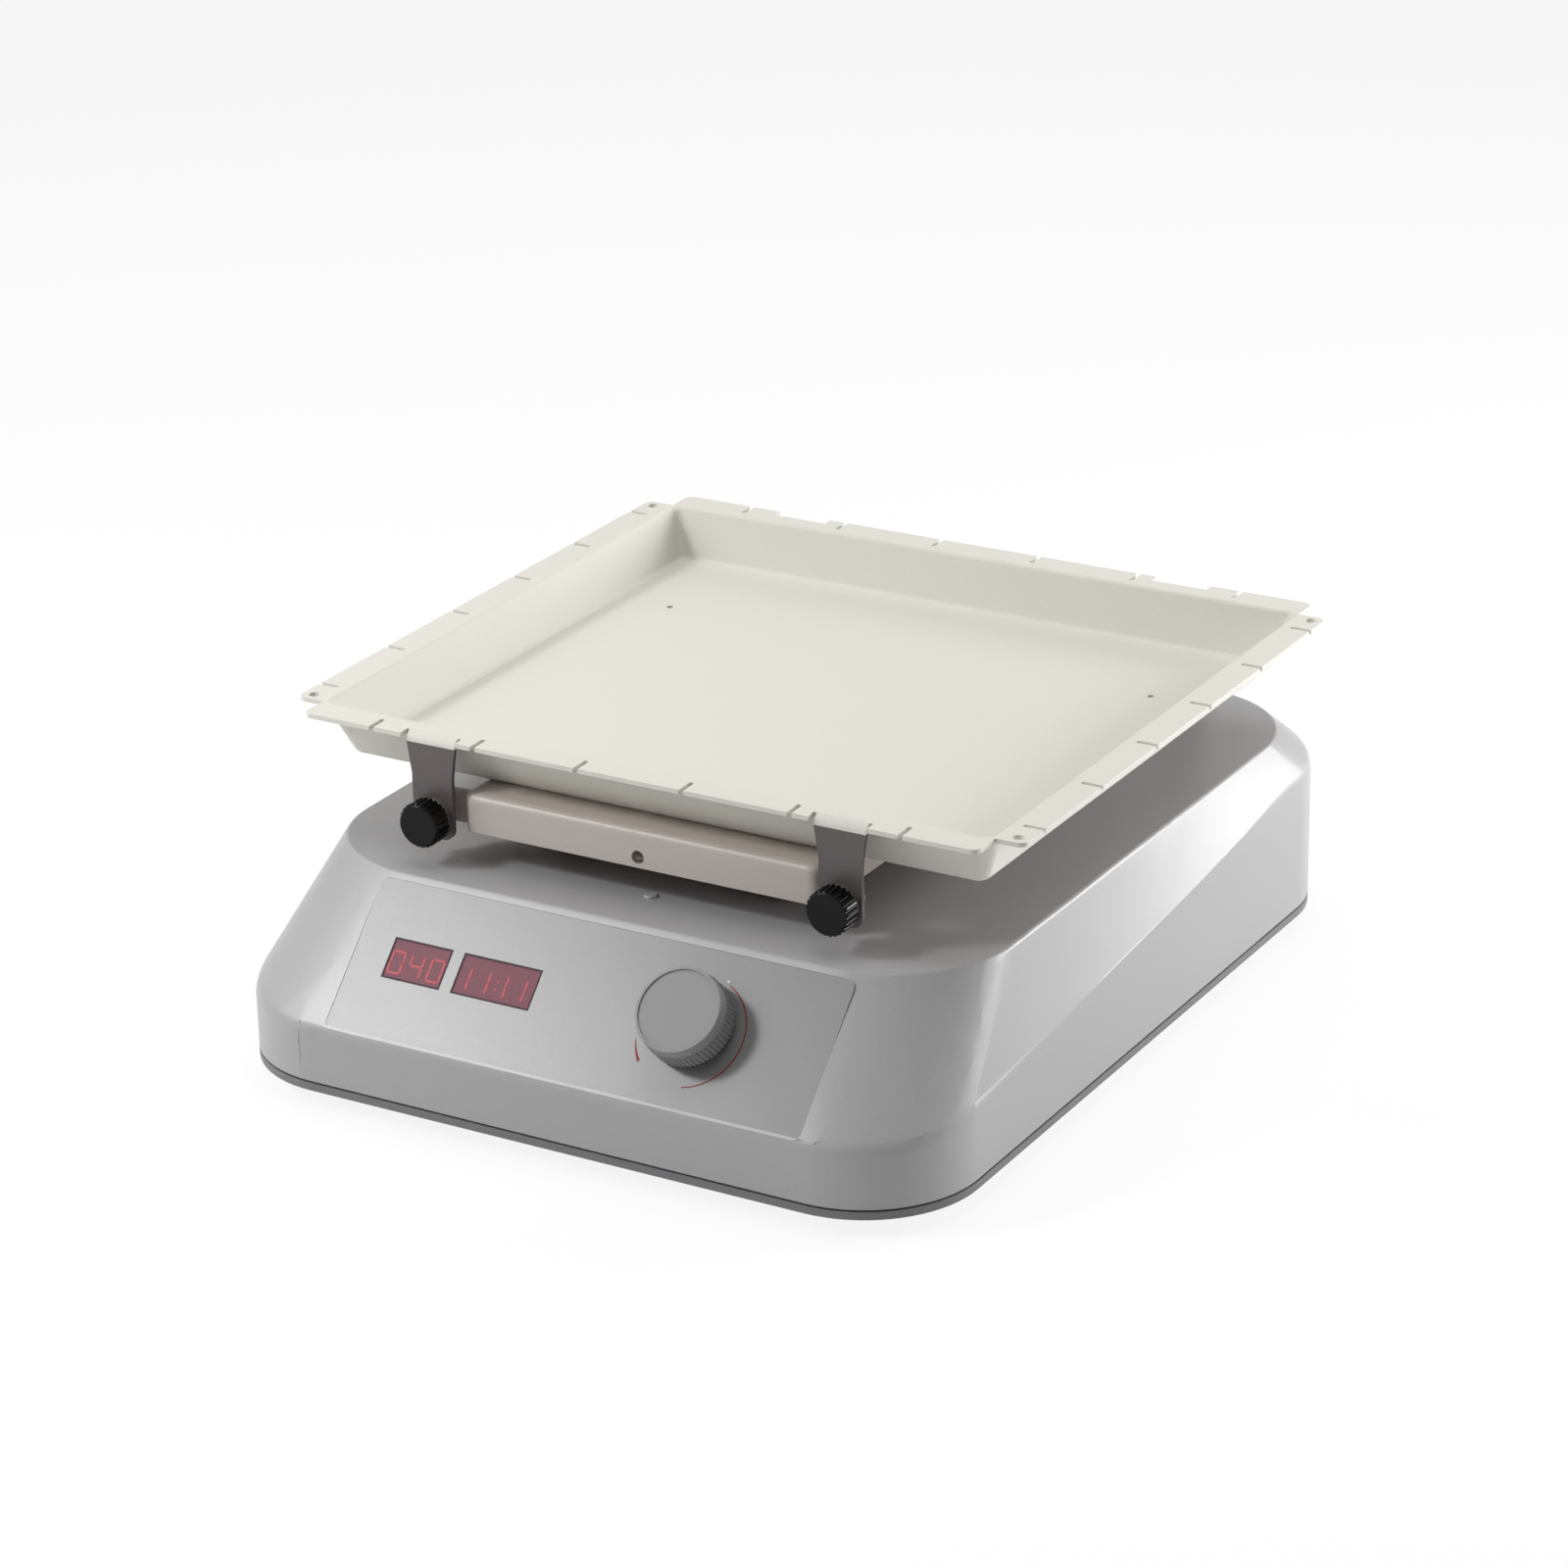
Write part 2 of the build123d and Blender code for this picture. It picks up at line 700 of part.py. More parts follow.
# Housing shell with its bosses, crank holes, panel recess, windows and back opening
with BuildPart() as housing:
    add(housing_form(0))
    fillet(housing.faces().sort_by(Axis.Z)[-1].edges(), top_edge_fillet)
    add(housing_form(housing_wall), mode=Mode.SUBTRACT)
    with BuildSketch(Plane.XY.offset(plate_top)):
        RectangleRounded(base_width, base_depth, base_corner_radius)
        RectangleRounded(
            base_width - 2 * shadow_gap_depth,
            base_depth - 2 * shadow_gap_depth,
            base_corner_radius - shadow_gap_depth,
            mode=Mode.SUBTRACT,
        )
    extrude(amount=shadow_gap_height, mode=Mode.SUBTRACT)
    with BuildSketch(Plane.XY.offset(plate_top)):
        with Locations(*case_screw_places):
            Circle(case_boss_radius)
    extrude(amount=case_boss_height)
    with BuildSketch(Plane.XY.offset(plate_top)):
        with Locations(*case_screw_places):
            Circle(case_screw_radius + running_gap)
    extrude(amount=case_boss_height - 1, mode=Mode.SUBTRACT)
    with BuildSketch(on_slope(control_board_x, control_board_rise, -control_board_depth)):
        with Locations(*control_post_places):
            Circle(control_post_radius)
    extrude(amount=control_board_depth - housing_wall + joint_overlap)
    with BuildSketch(on_slope(control_board_x, control_board_rise, -control_board_depth)):
        with Locations(*control_post_places):
            Circle(small_screw_radius + running_gap)
    extrude(amount=small_screw_length + 1, mode=Mode.SUBTRACT)
    with BuildSketch(Plane.XY.offset(housing_top + 1)):
        with Locations(*crank_places):
            Circle(seal_radius + running_gap)
        with Locations((panel_x, plug_y)):
            Circle(plug_hole_radius + running_gap)
    extrude(amount=-housing_wall - 2, mode=Mode.SUBTRACT)
    with BuildSketch(on_slope(panel_x, panel_bottom_margin + panel_height / 2, 1)):
        RectangleRounded(panel_width, panel_height, panel_corner_radius)
    extrude(amount=-panel_recess - 1, mode=Mode.SUBTRACT)
    with BuildSketch(on_slope(0, display_rise)):
        with Locations((speed_display_x, 0)):
            Rectangle(speed_display_width, display_height)
        with Locations((time_display_x, 0)):
            Rectangle(time_display_width, display_height)
    extrude(amount=-housing_wall - 1, mode=Mode.SUBTRACT)
    with BuildSketch(on_slope(knob_x, knob_rise)):
        Circle(encoder_bush_radius + screw_hole_clearance)
    extrude(amount=-housing_wall - 1, mode=Mode.SUBTRACT)
    with BuildSketch(back_plane(0, 0, 1)):
        with Locations((-rear_panel_x, rear_panel_z)):
            RectangleRounded(rear_opening_width, rear_opening_height, rear_opening_radius)
        with Locations(*[(-x, z) for x, z in rear_screw_places]):
            Circle(small_screw_radius + running_gap)
    extrude(amount=-housing_wall - 2, mode=Mode.SUBTRACT)
housing.part.label = "housing"
export_step(housing.part, "parts/housing.step")

# Screws under the base, through the feet into the plate and through the plate into the housing
with BuildPart() as base_screws:
    with BuildSketch(Plane.XY.offset(foot_recess_depth)):
        with Locations(*foot_places):
            Circle(foot_recess_radius - 1)
    extrude(amount=-small_head_height)
    with BuildSketch(Plane.XY.offset(foot_recess_depth)):
        with Locations(*foot_places):
            Circle(case_screw_radius)
    extrude(amount=plate_top - foot_recess_depth)
    with BuildSketch(Plane.XY.offset(foot_height)):
        with Locations(*case_screw_places):
            Circle(2 * case_screw_radius)
    extrude(amount=-small_head_height)
    with BuildSketch(Plane.XY.offset(foot_height)):
        with Locations(*case_screw_places):
            Circle(case_screw_radius)
    extrude(amount=base_plate_thickness + case_boss_height - 2)
base_screws.part.label = "base_screws"
export_step(base_screws.part, "parts/base_screws.step")

with BuildPart() as top_plug:
    with BuildSketch(Plane.XY.offset(housing_top - housing_wall)):
        with Locations((panel_x, plug_y)):
            Circle(plug_hole_radius)
    extrude(amount=housing_wall)
    with BuildSketch(Plane.XY.offset(housing_top)):
        with Locations((panel_x, plug_y)):
            Circle(plug_radius)
    extrude(amount=plug_height)
    fillet(top_plug.faces().sort_by(Axis.Z)[-1].edges(), plug_height * 0.8)
top_plug.part.label = "top_plug"
export_step(top_plug.part, "parts/top_plug.step")

# Seals round the crank hubs
with BuildPart() as crank_seals:
    with BuildSketch(Plane.XY.offset(housing_top)):
        with Locations(*crank_places):
            Circle(seal_radius + seal_flange)
    extrude(amount=seal_flange_thickness)
    chamfer(crank_seals.faces().group_by(Axis.Z)[-1].edges(), seal_flange_thickness * 0.6)
    with BuildSketch(Plane.XY.offset(housing_top)):
        with Locations(*crank_places):
            Circle(seal_radius)
    extrude(amount=-housing_wall)
    with BuildSketch(Plane.XY.offset(housing_top - housing_wall)):
        with Locations(*crank_places):
            Circle(crank_hub_radius + seal_gap)
    extrude(amount=housing_wall + seal_flange_thickness, mode=Mode.SUBTRACT)
crank_seals.part.label = "crank_seals"
export_step(crank_seals.part, "parts/crank_seals.step")

# Front panel overlay, display windows and display modules
panel_level = panel_thickness - panel_recess
with BuildPart() as panel_overlay:
    with BuildSketch(on_slope(panel_x, panel_bottom_margin + panel_height / 2, -panel_recess)):
        RectangleRounded(
            panel_width - 2 * running_gap, panel_height - 2 * running_gap, panel_corner_radius
        )
    extrude(amount=panel_thickness)
    with BuildSketch(on_slope(0, display_rise, panel_level)):
        with Locations((speed_display_x, 0)):
            Rectangle(speed_display_width, display_height)
        with Locations((time_display_x, 0)):
            Rectangle(time_display_width, display_height)
        with Locations((knob_x, knob_rise - display_rise)):
            Circle(encoder_bush_radius + screw_hole_clearance)
    extrude(amount=-panel_thickness, mode=Mode.SUBTRACT)
panel_overlay.part.label = "panel_overlay"
export_step(panel_overlay.part, "parts/panel_overlay.step")

display_boxes = [(speed_display_x, speed_display_width), (time_display_x, time_display_width)]
with BuildPart() as display_windows:
    for across, width in display_boxes:
        with BuildSketch(on_slope(across, display_rise, -housing_wall)):
            Rectangle(width + 2 * window_flange, display_height + 2 * window_flange)
        extrude(amount=-window_flange)
        with BuildSketch(on_slope(across, display_rise, -housing_wall)):
            Rectangle(width - 2 * running_gap, display_height - 2 * running_gap)
        extrude(amount=housing_wall + panel_level - window_setback)
display_windows.part.label = "display_windows"
export_step(display_windows.part, "parts/display_windows.step")

with BuildPart() as display_modules:
    for across, width in display_boxes:
        with BuildSketch(on_slope(across, display_rise, -control_board_depth)):
            Rectangle(width - 2 * display_margin, display_height - 2 * display_margin)
        extrude(amount=control_board_depth - housing_wall - window_flange - window_setback)
display_modules.part.label = "display_modules"
export_step(display_modules.part, "parts/display_modules.step")

with BuildPart() as control_board:
    with BuildSketch(on_slope(control_board_x, control_board_rise, -control_board_depth)):
        Rectangle(control_board_width, control_board_height)
        with Locations(*control_post_places):
            Circle(small_screw_radius + running_gap, mode=Mode.SUBTRACT)
    extrude(amount=-board_thickness)
control_board.part.label = "control_board"
export_step(control_board.part, "parts/control_board.step")

# Push-and-turn encoder: a body on the board, a plunger that is pushed and a shaft that turns
plunger_level = plunger_lift - control_board_depth
plunger_top = plunger_level + plunger_thickness
encoder_top = panel_level + encoder_nut_height
with BuildPart() as encoder_body:
    with BuildSketch(on_slope(knob_x, knob_rise, -control_board_depth)):
        Rectangle(encoder_size, encoder_size)
    extrude(amount=encoder_body_height)
    with BuildSketch(on_slope(knob_x, knob_rise, -control_board_depth + encoder_body_height)):
        Circle(encoder_bush_radius)
    extrude(amount=encoder_top + control_board_depth - encoder_body_height)
    with BuildSketch(on_slope(knob_x, knob_rise, plunger_top)):
        Circle(plunger_radius + running_gap)
    extrude(amount=-plunger_thickness - 2 * encoder_push_travel, mode=Mode.SUBTRACT)
    with BuildSketch(on_slope(knob_x, knob_rise, plunger_top)):
        Circle(encoder_shaft_radius + running_gap)
    extrude(amount=encoder_top - plunger_top, mode=Mode.SUBTRACT)
encoder_body.part.label = "encoder_body"
export_step(encoder_body.part, "parts/encoder_body.step")

with BuildPart() as encoder_nut:
    with BuildSketch(on_slope(knob_x, knob_rise, panel_level)):
        RegularPolygon(encoder_nut_radius, 6)
        Circle(encoder_bush_radius + running_gap, mode=Mode.SUBTRACT)
    extrude(amount=encoder_nut_height)
encoder_nut.part.label = "encoder_nut"
export_step(encoder_nut.part, "parts/encoder_nut.step")

with BuildPart() as encoder_plunger:
    with BuildSketch(on_slope(knob_x, knob_rise, plunger_level)):
        Circle(plunger_radius)
        Circle(spigot_radius + running_gap, mode=Mode.SUBTRACT)
    extrude(amount=plunger_thickness)
encoder_plunger.part.label = "encoder_plunger"
export_step(encoder_plunger.part, "parts/encoder_plunger.step")

knob_base = panel_level + knob_lift
with BuildPart() as encoder_shaft:
    with BuildSketch(on_slope(knob_x, knob_rise, plunger_top)):
        Circle(encoder_shaft_radius)
    extrude(amount=knob_base + knob_bore_depth - plunger_top)
    with BuildSketch(on_slope(knob_x, knob_rise, plunger_top)):
        Circle(spigot_radius)
    extrude(amount=-plunger_thickness)
encoder_shaft.part.label = "encoder_shaft"
export_step(encoder_shaft.part, "parts/encoder_shaft.step")

with BuildPart() as speed_knob:
    with BuildSketch(on_slope(knob_x, knob_rise, knob_base)):
        Circle(knob_radius)
        with PolarLocations(knob_radius, knob_flute_count):
            Circle(knob_flute_radius, mode=Mode.SUBTRACT)
    extrude(amount=knob_flute_height)
    with BuildSketch(on_slope(knob_x, knob_rise, knob_base + knob_flute_height)):
        Circle(knob_radius - knob_step)
    with BuildSketch(on_slope(knob_x, knob_rise, knob_base + knob_height)):
        Circle(knob_face_radius)
    loft()
    outward = Axis(slope.origin, slope.z_dir)
    fillet(speed_knob.faces().sort_by(outward)[-1].edges(), knob_rim_fillet)
    with BuildSketch(on_slope(knob_x, knob_rise, knob_base + knob_height)):
        Circle(knob_face_radius - knob_rim)
    extrude(amount=-knob_face_recess, mode=Mode.SUBTRACT)
    with BuildSketch(on_slope(knob_x, knob_rise, knob_base)):
        Circle(knob_recess_radius)
    extrude(amount=knob_recess_depth, mode=Mode.SUBTRACT)
    with BuildSketch(on_slope(knob_x, knob_rise, knob_base)):
        Circle(encoder_shaft_radius + running_gap)
    extrude(amount=knob_bore_depth, mode=Mode.SUBTRACT)
speed_knob.part.label = "speed_knob"
export_step(speed_knob.part, "parts/speed_knob.step")

# Back panel, mains inlet and power switch
rear_panel_face = -housing_wall
inlet_screw_places = [(-inlet_screw_spacing / 2, 0), (inlet_screw_spacing / 2, 0)]
with BuildPart() as rear_panel:
    with BuildSketch(back_plane(rear_panel_x, rear_panel_z, rear_panel_face)):
        Rectangle(
            rear_opening_width + 2 * rear_panel_overlap, rear_opening_height + 2 * rear_panel_overlap
        )
    extrude(amount=-rear_panel_thickness)
    with BuildSketch(back_plane(0, 0, rear_panel_face)):
        with Locations((-inlet_x, rear_panel_z)):
            Rectangle(inlet_width + 2 * running_gap, inlet_height + 2 * running_gap)
        with Locations((-switch_x, rear_panel_z)):
            Rectangle(switch_width + 2 * running_gap, switch_height + 2 * running_gap)
        with Locations(*[(-inlet_x + x, rear_panel_z) for x, y in inlet_screw_places]):
            Circle(small_screw_radius + running_gap)
        with Locations(*[(-x, z) for x, z in rear_screw_places]):
            Circle(small_screw_radius + running_gap)
    extrude(amount=-rear_panel_thickness, mode=Mode.SUBTRACT)
rear_panel.part.label = "rear_panel"
export_step(rear_panel.part, "parts/rear_panel.step")

inlet_face = rear_panel_face + inlet_flange_thickness
with BuildPart() as mains_inlet:
    with BuildSketch(back_plane(inlet_x, rear_panel_z, rear_panel_face)):
        RectangleRounded(inlet_flange_width, inlet_flange_height, 4)
    extrude(amount=inlet_flange_thickness)
    with BuildSketch(back_plane(inlet_x, rear_panel_z, inlet_face - inlet_depth)):
        Rectangle(inlet_width, inlet_height)
    extrude(amount=inlet_depth - inlet_flange_thickness)
    with BuildSketch(back_plane(inlet_x, rear_panel_z, inlet_face)) as cavity:
        Rectangle(inlet_width - 2 * inlet_wall, inlet_height - 2 * inlet_wall)
        chamfer(cavity.vertices().group_by(Axis.Y)[-1], inlet_corner)
    extrude(amount=-inlet_cavity_depth, mode=Mode.SUBTRACT)
    with BuildSketch(back_plane(inlet_x, rear_panel_z, inlet_face)):
        with Locations(*inlet_screw_places):
            Circle(small_screw_radius + running_gap)
    extrude(amount=-inlet_flange_thickness, mode=Mode.SUBTRACT)
    with BuildSketch(back_plane(inlet_x, rear_panel_z, inlet_face - inlet_depth)):
        with Locations(*inlet_pin_places):
            Rectangle(inlet_pin_thickness + 2 * running_gap, inlet_pin_width + 2 * running_gap)
    extrude(amount=inlet_depth - inlet_cavity_depth, mode=Mode.SUBTRACT)
mains_inlet.part.label = "mains_inlet"
export_step(mains_inlet.part, "parts/mains_inlet.step")

with BuildPart() as inlet_pins:
    with BuildSketch(back_plane(inlet_x, rear_panel_z, inlet_face - inlet_depth - inlet_tab_length)):
        with Locations(*inlet_pin_places):
            Rectangle(inlet_pin_thickness, inlet_pin_width)
    extrude(amount=inlet_tab_length + inlet_depth - inlet_cavity_depth + inlet_pin_length)
inlet_pins.part.label = "inlet_pins"
export_step(inlet_pins.part, "parts/inlet_pins.step")

# Screws of the back panel and of the inlet's flange
with BuildPart() as rear_screws:
    with BuildSketch(back_plane(0, 0)):
        with Locations(*[(-x, z) for x, z in rear_screw_places]):
            Circle(small_head_radius)
    extrude(amount=small_head_height)
    with BuildSketch(back_plane(inlet_x, rear_panel_z, inlet_face)):
        with Locations(*inlet_screw_places):
            Circle(small_head_radius)
    extrude(amount=small_head_height)
    with BuildSketch(back_plane(0, 0)):
        with Locations(*[(-x, z) for x, z in rear_screw_places]):
            Circle(small_screw_radius)
    extrude(amount=-housing_wall - rear_panel_thickness)
    with BuildSketch(back_plane(inlet_x, rear_panel_z, inlet_face)):
        with Locations(*inlet_screw_places):
            Circle(small_screw_radius)
    extrude(amount=-inlet_flange_thickness - rear_panel_thickness)
rear_screws.part.label = "rear_screws"
export_step(rear_screws.part, "parts/rear_screws.step")

switch_face = rear_panel_face + switch_bezel
rocker_slot = rocker_radius + rocker_gap
with BuildPart() as power_switch_frame:
    with BuildSketch(back_plane(switch_x, rear_panel_z, rear_panel_face)):
        RectangleRounded(switch_width + 2 * switch_bezel, switch_height + 2 * switch_bezel, switch_bezel)
    extrude(amount=switch_bezel)
    chamfer(power_switch_frame.faces().sort_by(Axis.Y)[-1].edges(), switch_bezel / 3)
    with BuildSketch(back_plane(switch_x, rear_panel_z, rear_panel_face)):
        Rectangle(switch_width, switch_height)
    extrude(amount=-switch_depth)
    with BuildSketch(back_plane(switch_x, rear_panel_z, switch_face)):
        Rectangle(rocker_width + 2 * rocker_gap, 2 * rocker_slot)
    extrude(amount=-switch_cavity_depth, mode=Mode.SUBTRACT)
    axle_reach = rocker_width / 2 + rocker_gap + rocker_axle_length
    with BuildSketch(Plane.YZ.offset(switch_x - axle_reach)):
        with Locations((rocker_axis_y, rear_panel_z)):
            Circle(rocker_axle_radius + running_gap)
    extrude(amount=2 * axle_reach, mode=Mode.SUBTRACT)
power_switch_frame.part.label = "power_switch_frame"
export_step(power_switch_frame.part, "parts/power_switch_frame.step")

# Rocker, a slice of a cylinder with a shallow V face, tilted to its on position
rocker_turn = radians(rocker_tilt)
rocker_plane = Plane(
    origin=(switch_x - rocker_width / 2, rocker_axis_y, rear_panel_z),
    x_dir=(0, cos(rocker_turn), sin(rocker_turn)),
    z_dir=(1, 0, 0),
)
rocker_end = rocker_waist + rocker_radius * sin(rocker_turn)
with BuildPart() as power_rocker:
    with BuildSketch(rocker_plane):
        Circle(rocker_radius)
        with BuildLine():
            Polyline(
                (-rocker_back, -rocker_radius),
                (rocker_end, -rocker_radius),
                (rocker_waist, 0),
                (rocker_end, rocker_radius),
                (-rocker_back, rocker_radius),
                close=True,
            )
        make_face(mode=Mode.INTERSECT)
    extrude(amount=rocker_width)
    with BuildSketch(rocker_plane.offset(-rocker_gap - rocker_axle_length + running_gap)):
        Circle(rocker_axle_radius)
    extrude(amount=2 * (axle_reach - running_gap))
power_rocker.part.label = "power_rocker"
export_step(power_rocker.part, "parts/power_rocker.step")

with BuildPart() as switch_terminals:
    with BuildSketch(back_plane(switch_x, rear_panel_z, rear_panel_face - switch_depth)):
        with GridLocations(terminal_spacing, terminal_spacing, 2, 2):
            Rectangle(terminal_width, terminal_thickness)
    extrude(amount=-terminal_length)
switch_terminals.part.label = "switch_terminals"
export_step(switch_terminals.part, "parts/switch_terminals.step")

# Power supply: a board on posts, with its transformer, capacitors and heat sink
with BuildPart() as power_board_posts:
    with BuildSketch(Plane.XY.offset(plate_top)):
        with Locations(*power_post_places):
            Circle(power_post_radius)
            Circle(small_screw_radius + running_gap, mode=Mode.SUBTRACT)
    extrude(amount=power_board_lift)
power_board_posts.part.label = "power_board_posts"
export_step(power_board_posts.part, "parts/power_board_posts.step")

with BuildPart() as power_board:
    with BuildSketch(Plane.XY.offset(plate_top + power_board_lift)):
        with Locations((power_board_x, power_board_y)):
            Rectangle(power_board_width, power_board_depth)
        with Locations(*power_post_places):
            Circle(small_screw_radius + running_gap, mode=Mode.SUBTRACT)
    extrude(amount=board_thickness)
power_board.part.label = "power_board"
export_step(power_board.part, "parts/power_board.step")

control_board_back = control_board_depth + board_thickness
with BuildPart() as board_screws:
    add(
        screws(
            power_post_places,
            board_top,
            small_screw_radius,
            power_board_lift,
            small_head_radius,
            small_head_height,
        )
    )
    with BuildSketch(on_slope(control_board_x, control_board_rise, -control_board_back)):
        with Locations(*control_post_places):
            Circle(small_head_radius)
    extrude(amount=-small_head_height)
    with BuildSketch(on_slope(control_board_x, control_board_rise, -control_board_back)):
        with Locations(*control_post_places):
            Circle(small_screw_radius)
    extrude(amount=board_thickness + small_screw_length)
board_screws.part.label = "board_screws"
export_step(board_screws.part, "parts/board_screws.step")

# Transformer, two capacitors and a finned heat sink on the power board
with BuildPart() as power_parts:
    with BuildSketch(Plane.XY.offset(board_top)):
        with Locations(transformer_place):
            Rectangle(transformer_width, transformer_core)
    extrude(amount=transformer_height)
    winding_lift = (transformer_height - transformer_winding) / 2
    with BuildSketch(Plane.XY.offset(board_top + winding_lift)):
        with Locations(transformer_place):
            Rectangle(transformer_winding, transformer_depth)
    extrude(amount=transformer_winding)
    with BuildSketch(Plane.XY.offset(board_top)):
        with Locations(capacitor_place):
            with GridLocations(capacitor_pitch, 0, 2, 1):
                Circle(capacitor_radius)
    extrude(amount=capacitor_height)
    heat_sink_width = heat_sink_pitch * (heat_sink_fin_count - 1) + heat_sink_fin
    with BuildSketch(Plane.XY.offset(board_top)):
        with Locations(heat_sink_place):
            Rectangle(heat_sink_width, heat_sink_length)
    extrude(amount=heat_sink_fin)
    with BuildSketch(Plane.XY.offset(board_top)):
        with Locations(heat_sink_place):
            with GridLocations(heat_sink_pitch, 0, heat_sink_fin_count, 1):
                Rectangle(heat_sink_fin, heat_sink_length)
    extrude(amount=heat_sink_height)
power_parts.part.label = "power_parts"
export_step(power_parts.part, "parts/power_parts.step")

# Drive tower, idler towers and their bolts
drive_tower = tower(
    crank_places[:1],
    drive_flange_radius,
    drive_tower_radius,
    drive_tower_top,
    drive_bearing_radius,
    drive_bearing_width,
    drive_bolt_places,
)
drive_tower.label = "drive_tower"
export_step(drive_tower, "parts/drive_tower.step")

idler_towers = tower(
    idler_places,
    idler_flange_radius,
    idler_tower_radius,
    idler_tower_top,
    small_bearing_radius,
    small_bearing_width,
    idler_bolt_places,
)
idler_towers.label = "idler_towers"
export_step(idler_towers, "parts/idler_towers.step")

tower_bolts = screws(
    drive_bolt_places + idler_bolt_places,
    plate_top + tower_flange_thickness,
    bolt_radius,
    tower_flange_thickness + base_plate_thickness,
    bolt_head_radius,
    bolt_head_height,
)
tower_bolts.label = "tower_bolts"
export_step(tower_bolts, "parts/tower_bolts.step")

drive_bore = drive_shaft_radius + running_gap
idler_bore = idler_shaft_radius + running_gap
with BuildPart() as tower_bearings:
    for level in (drive_bearing_low, drive_bearing_high):
        add(bearings(crank_places[:1], drive_bore, drive_bearing_radius, drive_bearing_width, level))
    for level in (drive_bearing_low, idler_bearing_high):
        add(bearings(idler_places, idler_bore, small_bearing_radius, small_bearing_width, level))
tower_bearings.part.label = "tower_bearings"
export_step(tower_bearings.part, "parts/tower_bearings.step")

# Cranks
drive_shoulder = drive_bearing_high + drive_bearing_width
drive_crank = crank(crank_places[0], drive_shaft_radius, drive_shoulder, pulley_bottom)
drive_crank.label = "drive_crank"
export_step(drive_crank, "parts/drive_crank.step")

idler_shoulder = idler_bearing_high + small_bearing_width
for side, place in zip(("left", "right", "rear"), idler_places):
    idler_crank = crank(place, idler_shaft_radius, idler_shoulder, crank_hub_bottom)
    idler_crank.label = f"idler_crank_{side}"
    export_step(idler_crank, f"parts/idler_crank_{side}.step")

# Drive pulley, hollowed from above and below to a web with holes
with BuildPart() as drive_pulley:
    add(pulley((0, drive_axis_y), drive_pulley_radius, drive_shaft_radius))
    web_level = pulley_bottom + (pulley_width - pulley_web) / 2
    with BuildSketch(Plane.XY.offset(pulley_bottom), Plane.XY.offset(web_level + pulley_web)):
        with Locations((0, drive_axis_y)):
            Circle(drive_pulley_radius - pulley_rim)
            Circle(pulley_hub_radius, mode=Mode.SUBTRACT)
    extrude(amount=(pulley_width - pulley_web) / 2, mode=Mode.SUBTRACT)
    with BuildSketch(Plane.XY.offset(pulley_bottom)):
        with Locations((0, drive_axis_y)):
            with PolarLocations(pulley_hole_circle, pulley_hole_count, start_angle=90):
                Circle(pulley_hole_radius)
    extrude(amount=pulley_width, mode=Mode.SUBTRACT)
    with BuildSketch(Plane.XY.offset(web_level)):
        with Locations(*weight_bolt_places):
            Circle(bolt_radius + running_gap)
    extrude(amount=pulley_web, mode=Mode.SUBTRACT)
drive_pulley.part.label = "drive_pulley"
export_step(drive_pulley.part, "parts/drive_pulley.step")

# Counterweight, a ring round the crank hub with a heavy sector opposite the pin
with BuildPart() as counterweight:
    with BuildSketch(Plane.XY.offset(pulley_bottom + pulley_width)):
        with Locations((0, drive_axis_y)):
            with BuildLine():
                start = 270 - weight_angle / 2
                sector = CenterArc((0, drive_axis_y), weight_radius, start, weight_angle)
                Polyline(sector @ 1, (0, drive_axis_y), sector @ 0)
            make_face()
            Circle(weight_ring_radius)
            Circle(crank_hub_radius + running_gap, mode=Mode.SUBTRACT)
    extrude(amount=weight_thickness)
    with BuildSketch(Plane.XY.offset(pulley_bottom + pulley_width)):
        with Locations(*weight_bolt_places):
            Circle(bolt_radius + running_gap)
    extrude(amount=weight_thickness, mode=Mode.SUBTRACT)
    with BuildSketch(Plane.XY.offset(pulley_bottom + pulley_width + weight_thickness)):
        with Locations(*weight_bolt_places):
            Circle(bolt_head_radius + running_gap)
    extrude(amount=-bolt_head_height, mode=Mode.SUBTRACT)
counterweight.part.label = "counterweight"
export_step(counterweight.part, "parts/counterweight.step")

weight_screw_length = weight_thickness - bolt_head_height + (pulley_width + pulley_web) / 2
counterweight_bolts = screws(
    weight_bolt_places,
    pulley_bottom + pulley_width + weight_thickness - bolt_head_height,
    bolt_radius,
    weight_screw_length,
    bolt_head_radius,
    bolt_head_height,
)
counterweight_bolts.label = "counterweight_bolts"
export_step(counterweight_bolts, "parts/counterweight_bolts.step")

# Motor, hung under a plate that stands on four posts
with BuildPart() as motor_posts:
    with BuildSketch(Plane.XY.offset(plate_top)):
        with Locations(*motor_post_places):
            Circle(motor_post_radius)
            Circle(bolt_radius + running_gap, mode=Mode.SUBTRACT)
    extrude(amount=motor_top - plate_top)
motor_posts.part.label = "motor_posts"
export_step(motor_posts.part, "parts/motor_posts.step")

with BuildPart() as motor_plate:
    with BuildSketch(Plane.XY.offset(motor_top)):
        with Locations((motor_x, motor_y)):
            RectangleRounded(motor_plate_width, motor_plate_width, motor_post_radius)
            Circle(motor_shaft_boss + running_gap, mode=Mode.SUBTRACT)
        with Locations(*motor_post_places, *motor_screw_places):
            Circle(bolt_radius + running_gap, mode=Mode.SUBTRACT)
    extrude(amount=motor_plate_thickness)
motor_plate.part.label = "motor_plate"
export_step(motor_plate.part, "parts/motor_plate.step")

